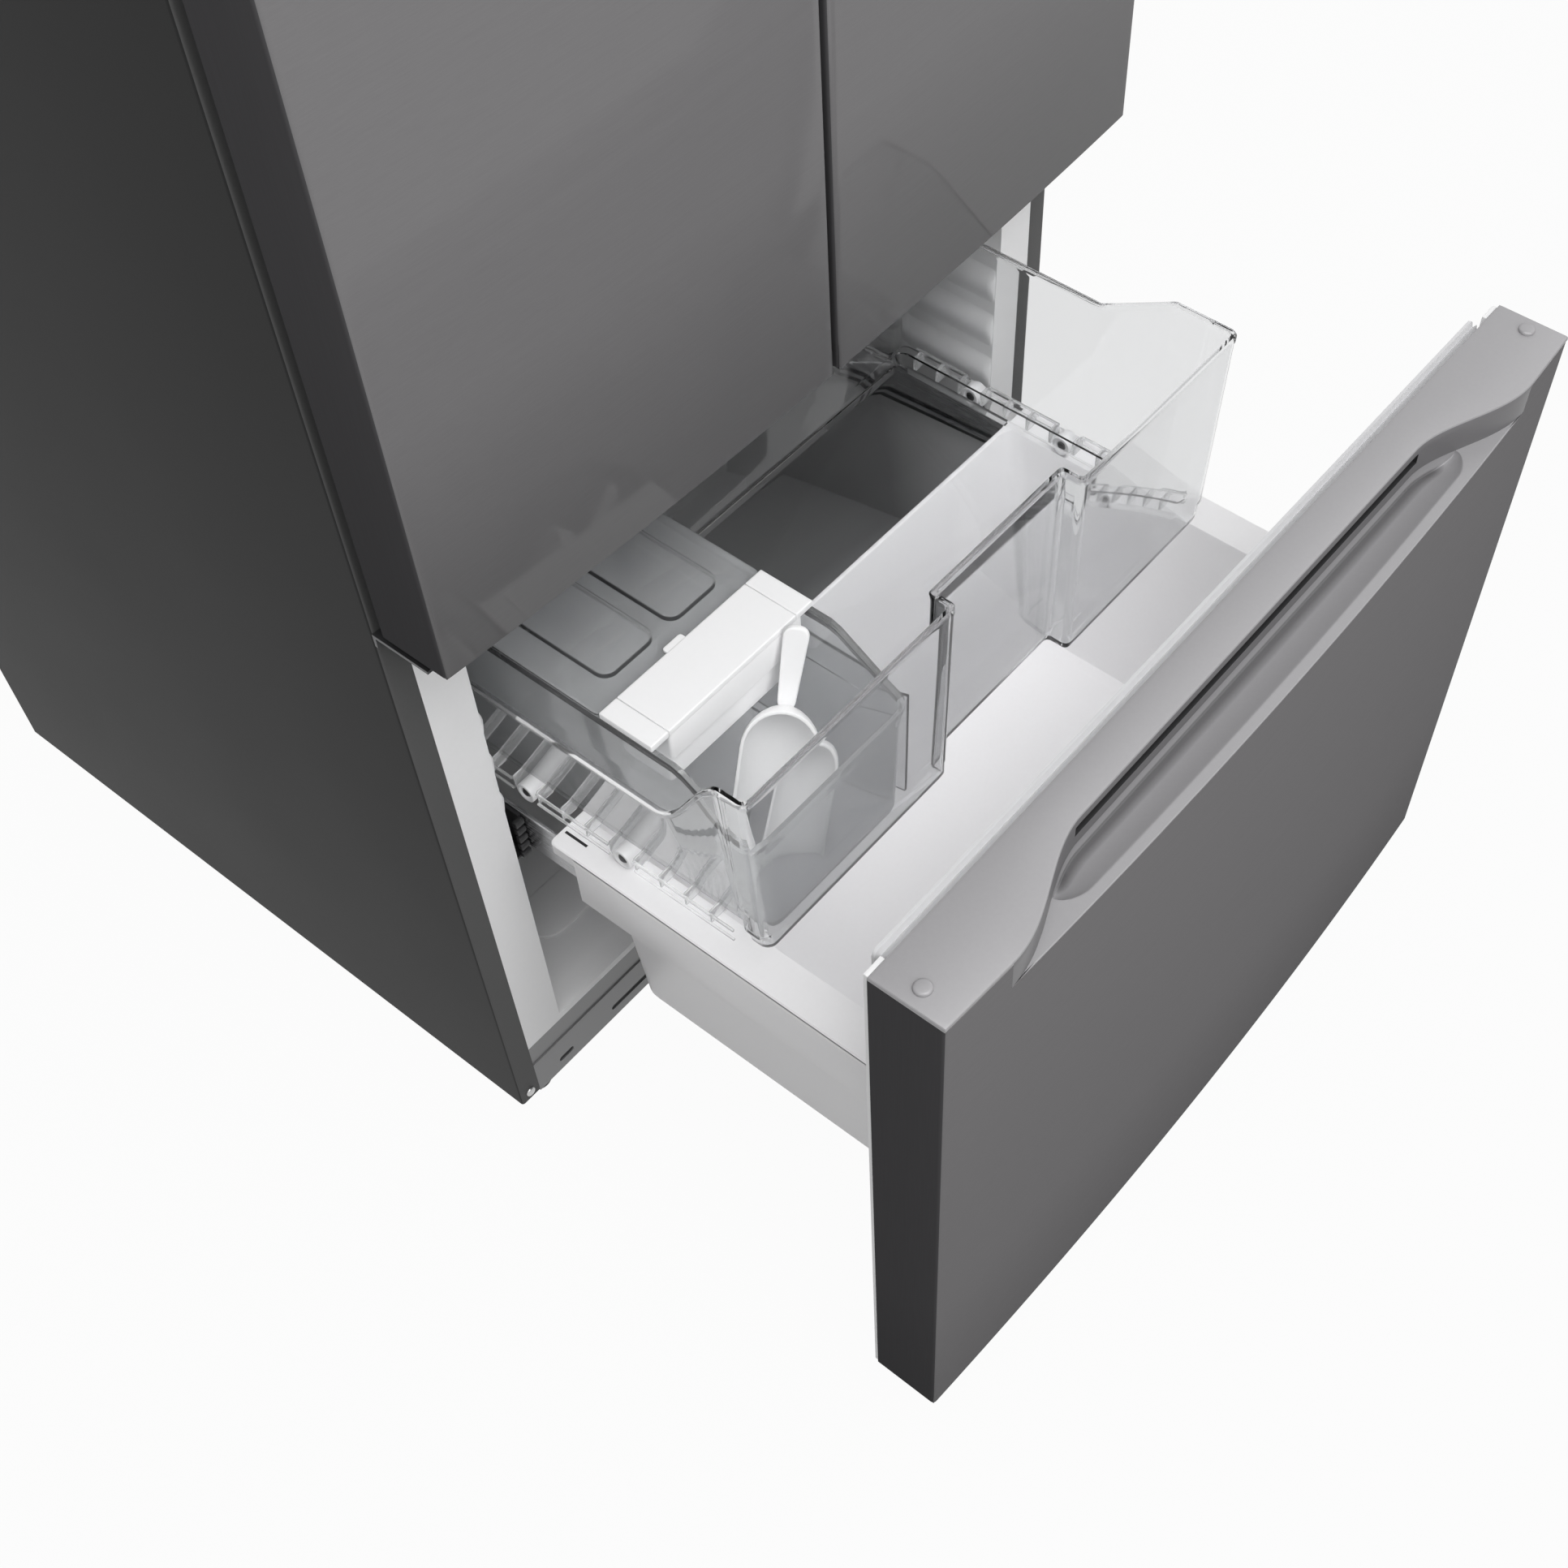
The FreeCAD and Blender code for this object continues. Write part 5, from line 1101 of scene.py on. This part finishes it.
def rim(drop):
    """The basket's rim line, lowered by an amount. On the left it lies lower and climbs later."""
    def rise(x, y):
        usual = REAR_RIM + (FRONT_RIM - REAR_RIM) * part_way(y, *RAMP)
        lower = LEFT_RIM + (FRONT_RIM - LEFT_RIM) * ease(y, *LEFT_RAMP)
        return lower + (usual - lower) * ease(x, *RIM_TURN) - drop
    return rise


basket = tub("clear_basket", basket_ring, [
    ((BASKET_FOOT - 0.006, FLARE + 0.006, 0.012, TOE[0]), FLOOR_Z),
    ((BASKET_FOOT - 0.0012, FLARE + 0.0012, 0.014, TOE[0]), FLOOR_Z + 0.0012),
    ((BASKET_FOOT, FLARE, 0.014, TOE[0]), FLOOR_Z + 0.005),
    ((BASKET_FOOT, FLARE, 0.014, TOE[1]), LEDGE_Z - 0.002),
    ((BASKET_LEDGE - 0.0015, FLARE - 0.0002, 0.012, TOE[2]), LEDGE_Z - 0.001),
    ((BASKET_LEDGE, FLARE - 0.0005, 0.012, TOE[2]), LEDGE_Z + 0.001),
    ((BASKET_TOP - 0.0006, 0.0006, 0.012), rim(0.009)),
    ((BASKET_TOP + 0.0008, 0.0, 0.012), rim(0.007)),
    ((BASKET_TOP + 0.0010, 0.0, 0.012), rim(0.002)),
    ((BASKET_TOP, 0.0010, 0.012), rim(0.0)),
    ((BASKET_TOP - 0.0034, 0.0044, 0.010), rim(0.0)),
    ((BASKET_TOP - 0.0044, 0.0054, 0.010), rim(0.002)),
    ((BASKET_TOP - 0.0036, 0.0046, 0.010), rim(0.009)),
    ((inner_ledge, inner_flare, 0.010, TOE[2]), LEDGE_Z + 0.004),
    ((inner_base, inner_flare, 0.012, TOE[1]), LEDGE_Z + 0.0015),
    ((inner_base, inner_flare, 0.012, TOE[0]), FLOOR_Z + 0.007),
    ((inner_base - 0.005, inner_flare + 0.005, 0.012, TOE[0]), FLOOR_Z + 0.003),
])
dress(basket, clear_look, "upper_basket", "clear_plastic", "upper_basket")
basket.visible_shadow = False

frost_look = clear("frosted_ledge", LEDGE_TINT, 0.14, 40, bump=0.06, density=0.96, through=0.82)
roller_boxes = [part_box(f"basket_rollers_{row}") for row in ("rear", "front")]
roller_rows = [(low.y + high.y) / 2 for low, high in roller_boxes]
cell_walls = [roller_rows[0] - CELL_PITCH * number - CELL_PITCH / 2 for number in CELL_NUMBERS]
grid_y = [basket_low.y + GRID_ENDS[0]]
for roller in sorted(roller_rows):
    grid_y += [roller - ROLLER_GAP, roller + ROLLER_GAP]
grid_y.append(basket_high.y - GRID_ENDS[1])
edge_x = (GRID_EDGE, GRID_EDGE - CELL_WALL)
cell_x = (BASKET_FOOT + GRID_GAP, GRID_EDGE - CELL_WALL - GRID_GAP)
cells = []
for side in (-1, 1):
    for run in zip(grid_y[::2], grid_y[1::2]):
        cells += [on_side("ledge_rail", side, edge_x, run, rail_z) for rail_z in RAIL_Z]
    for wall in cell_walls:
        if wall > grid_y[0] + CELL_WALL:
            wall_y = (wall - CELL_WALL / 2, wall + CELL_WALL / 2)
            cells.append(on_side("ledge_cell", side, cell_x, wall_y, CELL_Z))
for cell in cells:
    soften(cell, CELL_EDGE, 2)
ledges = gather("basket_ledges", cells)
dress(ledges, frost_look, "upper_basket", "clear_plastic")
ledges.visible_shadow = False

# Basket rollers: small white plastic wheels with a gap round the hub, which turn on stub axles moulded
# on the basket's sides and roll on the bin's rim. The faces round the hub are black, painted shadow.
ROLLER_WHITE = (0.80, 0.80, 0.81)
ROLLER_INNER = 0.3053
ROLLER_WIDTH = 0.0190
ROLLER_EDGE = 0.0006
HUB_STEPS = ((0.0028, 0.0), (0.0008, -0.0018), (0.0022, 0.0), (0.0004, 0.0012))
HUB_SHADOW_RADIUS = 0.0046
roller_look = opaque("roller_plastic", ROLLER_WHITE, 0.3, 260, tint=0.015, bump=0.05)
for row, (roller_low, roller_high) in zip(("rear", "front"), roller_boxes):
    middle = (roller_low + roller_high) / 2
    radius = (roller_high.z - roller_low.z) / 2
    pair = []
    for side in (-1, 1):
        place = ((ROLLER_INNER + ROLLER_WIDTH / 2) * side, middle.y, middle.z)
        roller = rod("basket_roller", place, radius, ROLLER_WIDTH, (0, math.pi / 2, 0), 40)
        pick(roller, "FACE", lambda face: abs(face.normal.x) > 0.9)
        for thickness, depth in HUB_STEPS:
            bpy.ops.mesh.inset(thickness=thickness, depth=depth, use_individual=True)
        leave()
        soften(roller, ROLLER_EDGE, 2, 50)

        # The faces round the hub take the black, painted shadow in the hub gap.
        def in_hub_shadow(face):
            off_axis = math.hypot(face.center.y - middle.y, face.center.z - middle.z)
            return off_axis < HUB_SHADOW_RADIUS and abs(face.normal.x) > 0.5

        paint(roller, (roller_look, black_look), in_hub_shadow)
        pair.append(roller)
    node = f"basket_rollers_{row}"
    dress(gather(f"roller_pair_{row}", pair), roller_look, node, "liner_white", node)

# Ice bin: a smoke-grey moulded tub that stands in the basket's left half, with a turned-out rim that
# dips to the front. Its cut edges are painted dark, painted shade.
SMOKE = (0.74, 0.75, 0.76)
SMOKE_EDGE_SHADE = (0.045, 0.046, 0.048)
ICE_LEFT = -0.298
ICE_RIGHT = -0.130
ICE_SPREAD = (0.012, 0.006)
ICE_WALL = 0.0025
ICE_EDGE = 0.0015
DIP_START = -0.30425
DIP = 0.042
RIDGE = 0.553
smoke_look = clear("smoke_plastic", SMOKE, 0.07, 22, bump=0.05, density=0.92, through=0.82)
edge_shade_look = opaque("smoke_edge_painted_shade", SMOKE_EDGE_SHADE, 0.25, 200, tint=0.1)
ice_low, ice_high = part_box("ice_bin")


def ice_ring(spread, inset, radius):
    """One level of the ice bin, wider by a share of its spread."""
    left = ICE_LEFT - ICE_SPREAD[0] * spread + inset
    right = ICE_RIGHT + ICE_SPREAD[1] * spread - inset
    return rectangle((left, right), (ice_low.y + inset, ice_high.y - inset), radius, runs=30)


def ice_rim(drop):
    return lambda x, y: ice_high.z - DIP * part_way(y, DIP_START, ice_low.y) - drop


ice_bin = tub("ice_bin_tub", ice_ring, [
    ((0, 0.005, 0.012), ice_low.z + 0.0006),
    ((0, 0.001, 0.014), ice_low.z + 0.0016),
    ((0, 0.0, 0.014), ice_low.z + 0.005),
    ((0.66, 0.0, 0.014), RIDGE),
    ((0.67, -0.0014, 0.014), RIDGE + 0.001),
    ((1, 0.0, 0.014), ice_rim(0.010)),
    ((1, -0.0032, 0.016), ice_rim(0.008)),
    ((1, -0.0036, 0.016), ice_rim(0.002)),
    ((1, -0.0026, 0.016), ice_rim(0.0006)),
    ((1, 0.0012, 0.014), ice_rim(0.0004)),
    ((1, ICE_WALL, 0.012), ice_rim(0.002)),
    ((1, ICE_WALL, 0.012), ice_rim(0.010)),
    ((0, ICE_WALL, 0.012), ice_low.z + 0.008),
    ((0, ICE_WALL + 0.005, 0.010), ice_low.z + 0.003),
])
rim_x = (ICE_LEFT - ICE_SPREAD[0] - ICE_EDGE, ICE_RIGHT + ICE_SPREAD[1] + ICE_EDGE)
# The rim's cut edges take the dark grey, painted shade.
paint(ice_bin, (smoke_look, edge_shade_look), lambda face: (
    not rim_x[0] <= face.center.x <= rim_x[1] and abs(face.normal.z) < 0.9))
dress(ice_bin, smoke_look, "upper_basket", "smoke_plastic", "ice_bin")
ice_bin.visible_shadow = False

# Ice bin lid: a smoke-grey plate laid on the rim, with two raised windows and cut edges painted dark
# as painted shade, and the white crossbar that is clipped on in front of it.
BAR_WHITE = (0.90, 0.90, 0.905)
LID_PLATE = 0.003
LID_SHEET = 0.0022
LID_CORNER = 0.006
LID_GAP = 0.0003
LID_EDGE = 0.0004
WINDOW = (0.060, 0.150)
WINDOW_GAP = 0.016
WINDOW_RISE = 0.0046
WINDOW_MARGIN = 0.018
WINDOW_CORNER = 0.012
NEAR = 0.001
LEAST_ROUND = 0.0003
END_CAP = 0.020
SEAM = 0.0004
WEB_INSET = 0.005
TAB_X = (-0.2345, -0.2125)
TAB_Y = (0.003, 0.006)
TAB_Z = (0.0003, 0.0035)
BAR_LEVELS = (0.0062, 0.007, 0.035, 0.036)
BAR_BACK = 0.001
WEB_FRONT = 0.0025
BAR_ROUND = 0.003
BAR_EDGE = 0.001
CAP_ROUND = 0.001
CAP_EDGE = 0.0012
lid_low, lid_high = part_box("ice_lid")
lid_top = lid_low.z + LID_PLATE


def ring(name, points, level):
    """A closed loop of edges through a list of points."""
    deselect()
    bpy.ops.mesh.primitive_circle_add(vertices=len(points), radius=1)
    bpy.context.object.name = name
    for point, (x, y) in zip(bpy.context.object.data.vertices, points):
        point.co = (x, y, level)
    return bpy.context.object


lid_outline = rectangle((lid_low.x, lid_high.x), (lid_low.y + LID_GAP, lid_high.y), LID_CORNER)
lid_rings = [ring("lid_edge", lid_outline, lid_top)]
window_y = (lid_low.y + WINDOW_MARGIN, lid_low.y + WINDOW_MARGIN + WINDOW[1])
window_middles = [(lid_low.x + lid_high.x) / 2 + (WINDOW[0] + WINDOW_GAP) / 2 * side for side in (-1, 1)]
for window_x in window_middles:
    window = rectangle((window_x - WINDOW[0] / 2, window_x + WINDOW[0] / 2), window_y, WINDOW_CORNER)
    lid_rings.append(ring("lid_window", window, lid_top))
lid = gather("ice_lid_plate", lid_rings)
pick(lid, "EDGE", lambda edge: True)
bpy.ops.mesh.fill(use_beauty=True)
for window_x in window_middles:
    pick(lid, "EDGE", lambda edge: edge.is_boundary and all(
        abs(point.co.x - window_x) < WINDOW[0] / 2 + NEAR
        and window_y[0] - NEAR < point.co.y < window_y[1] + NEAR for point in edge.verts))
    bpy.ops.mesh.extrude_edges_move(TRANSFORM_OT_translate={"value": (0, 0, WINDOW_RISE)})
    bpy.ops.mesh.edge_face_add()
pick(lid, "FACE", lambda face: True)
bpy.ops.mesh.normals_make_consistent(inside=False)
leave()
face_to(lid, (0, 0, 1))
shape(lid, "SOLIDIFY", thickness=LID_SHEET, offset=-1)
soften(lid, LID_EDGE, 2, 50)
# The lid's cut edges take the dark grey, painted shade.
paint(lid, (smoke_look, edge_shade_look), lambda face: abs(face.normal.z) < 0.4)
dress(lid, smoke_look, "ice_lid", "smoke_plastic", "ice_lid")
lid.visible_shadow = False


def slab(name, x, y, z, radius, edge):
    """A flat plate with round corners and softened edges."""
    def plate_ring(inset):
        return rectangle(
            (x[0] + inset, x[1] - inset), (y[0] + inset, y[1] - inset), max(radius - inset, LEAST_ROUND))

    return tub(name, plate_ring, [
        ((edge * 1.5,), z[0]), ((edge,), z[0]), ((0,), z[0] + edge), ((0,), z[1] - edge),
        ((edge * 0.3,), z[1] - edge * 0.3), ((edge,), z[1]), ((edge * 1.5,), z[1]),
    ])


bar_look = opaque("bar_plastic", BAR_WHITE, 0.32, 260, tint=0.012, wander=0.05, bump=0.05)
bar_low, bar_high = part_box("ice_bar")
web_x = (ICE_LEFT + WEB_INSET, ICE_RIGHT - WEB_INSET)
bar_y = (bar_low.y, bar_high.y)
face_top, cap_foot, web_top, face_foot = below(bar_high.z, BAR_LEVELS)
cap_spans = (
    (bar_low.x, bar_low.x + END_CAP), (bar_low.x + END_CAP + SEAM, bar_high.x - END_CAP - SEAM),
    (bar_high.x - END_CAP, bar_high.x),
)
cap_z = (cap_foot, bar_high.z)
web_back = bar_high.y - BAR_BACK
tab_y = (bar_high.y - TAB_Y[0], bar_high.y + TAB_Y[1])
tab_z = (lid_top + TAB_Z[0], lid_top + TAB_Z[1])
bar_parts = [slab("bar_cap", span, bar_y, cap_z, CAP_ROUND, CAP_EDGE) for span in cap_spans]
bar_parts += [slab(name, x, y, z, BAR_ROUND, BAR_EDGE) for name, x, y, z in (
    ("bar_face", web_x, (bar_low.y, web_back), (face_foot, face_top)),
    ("bar_web", web_x, (bar_low.y + WEB_FRONT, web_back), (bar_low.z, web_top)),
    ("bar_tab", TAB_X, tab_y, tab_z),
)]
dress(gather("ice_crossbar", bar_parts), bar_look, "ice_lid", "liner_white", "ice_bar")

# Scoop: one white moulding with a round-ended bowl and a flat handle that widens to its end. It leans
# loose in the ice bin against the crossbar.
SCOOP_SEAT = Vector((-0.219, -0.30395, 0.4417))
SCOOP_TURNS = (("Z", 12), ("Y", 21), ("Z", -65))
SCOOP_HALF = 0.030
SCOOP_DEPTH = 0.030
SCOOP_BOWL = 0.129
SCOOP_LENGTH = 0.196
SCOOP_GAUGE = 0.003
SCOOP_EDGE = 0.0008
LIP_SHARE = 0.45
LIP_REACH = 0.03
DOME_SHARE = 0.15
BOWL_TOP = -0.0003
BOWL_COLUMNS = 24
BOWL_ROWS = 16
GRIP_HALF = 0.0112
GRIP_LAP = 0.012
GRIP_GAUGE = 0.006
GRIP_TAPER = 0.3
GRIP_ROUND = 0.0095
GRIP_EDGE = 0.0018


def bowl_point(column, row):
    """A round trough that closes in a dome under the handle."""
    turn = math.pi * column / BOWL_COLUMNS
    rise = SCOOP_BOWL * math.sin(math.pi / 2 * row / BOWL_ROWS)
    dome = round_end(rise, SCOOP_BOWL, SCOOP_HALF * 1.2)
    lip = -SCOOP_DEPTH * (LIP_SHARE + (1 - LIP_SHARE) * min(rise / LIP_REACH, 1))
    hollow = (BOWL_TOP - lip) * (DOME_SHARE + (1 - DOME_SHARE) * dome)
    return (-SCOOP_HALF * dome * math.cos(turn), lip + hollow * math.sin(turn), rise)


scoop_bowl = loft("scoop_bowl", BOWL_COLUMNS, BOWL_ROWS, bowl_point)
pick(scoop_bowl, "VERT", lambda point: True)
bpy.ops.mesh.remove_doubles(threshold=WELD)
leave()
shape(scoop_bowl, "SOLIDIFY", thickness=SCOOP_GAUGE, offset=-1)
soften(scoop_bowl, SCOOP_EDGE, 2, 50)
grip_y = (SCOOP_BOWL - GRIP_LAP, SCOOP_LENGTH)
scoop_handle = slab(
    "scoop_handle", (-GRIP_HALF, GRIP_HALF), grip_y, (0.0, GRIP_GAUGE), GRIP_ROUND, GRIP_EDGE)
for point in scoop_handle.data.vertices:
    narrow = 1 - GRIP_TAPER * (SCOOP_LENGTH - point.co.y) / (SCOOP_LENGTH - SCOOP_BOWL)
    point.co = (point.co.x * narrow, -point.co.z, point.co.y)
scoop_handle.data.flip_normals()
scoop = gather("ice_scoop_moulding", [scoop_bowl, scoop_handle])
lean = Matrix.Identity(4)
for axis, degrees in SCOOP_TURNS:
    lean = lean @ Matrix.Rotation(math.radians(degrees), 4, axis)
scoop.data.transform(Matrix.Translation(SCOOP_SEAT) @ lean)
dress(scoop, bar_look, "upper_basket", "liner_white", "ice_scoop")
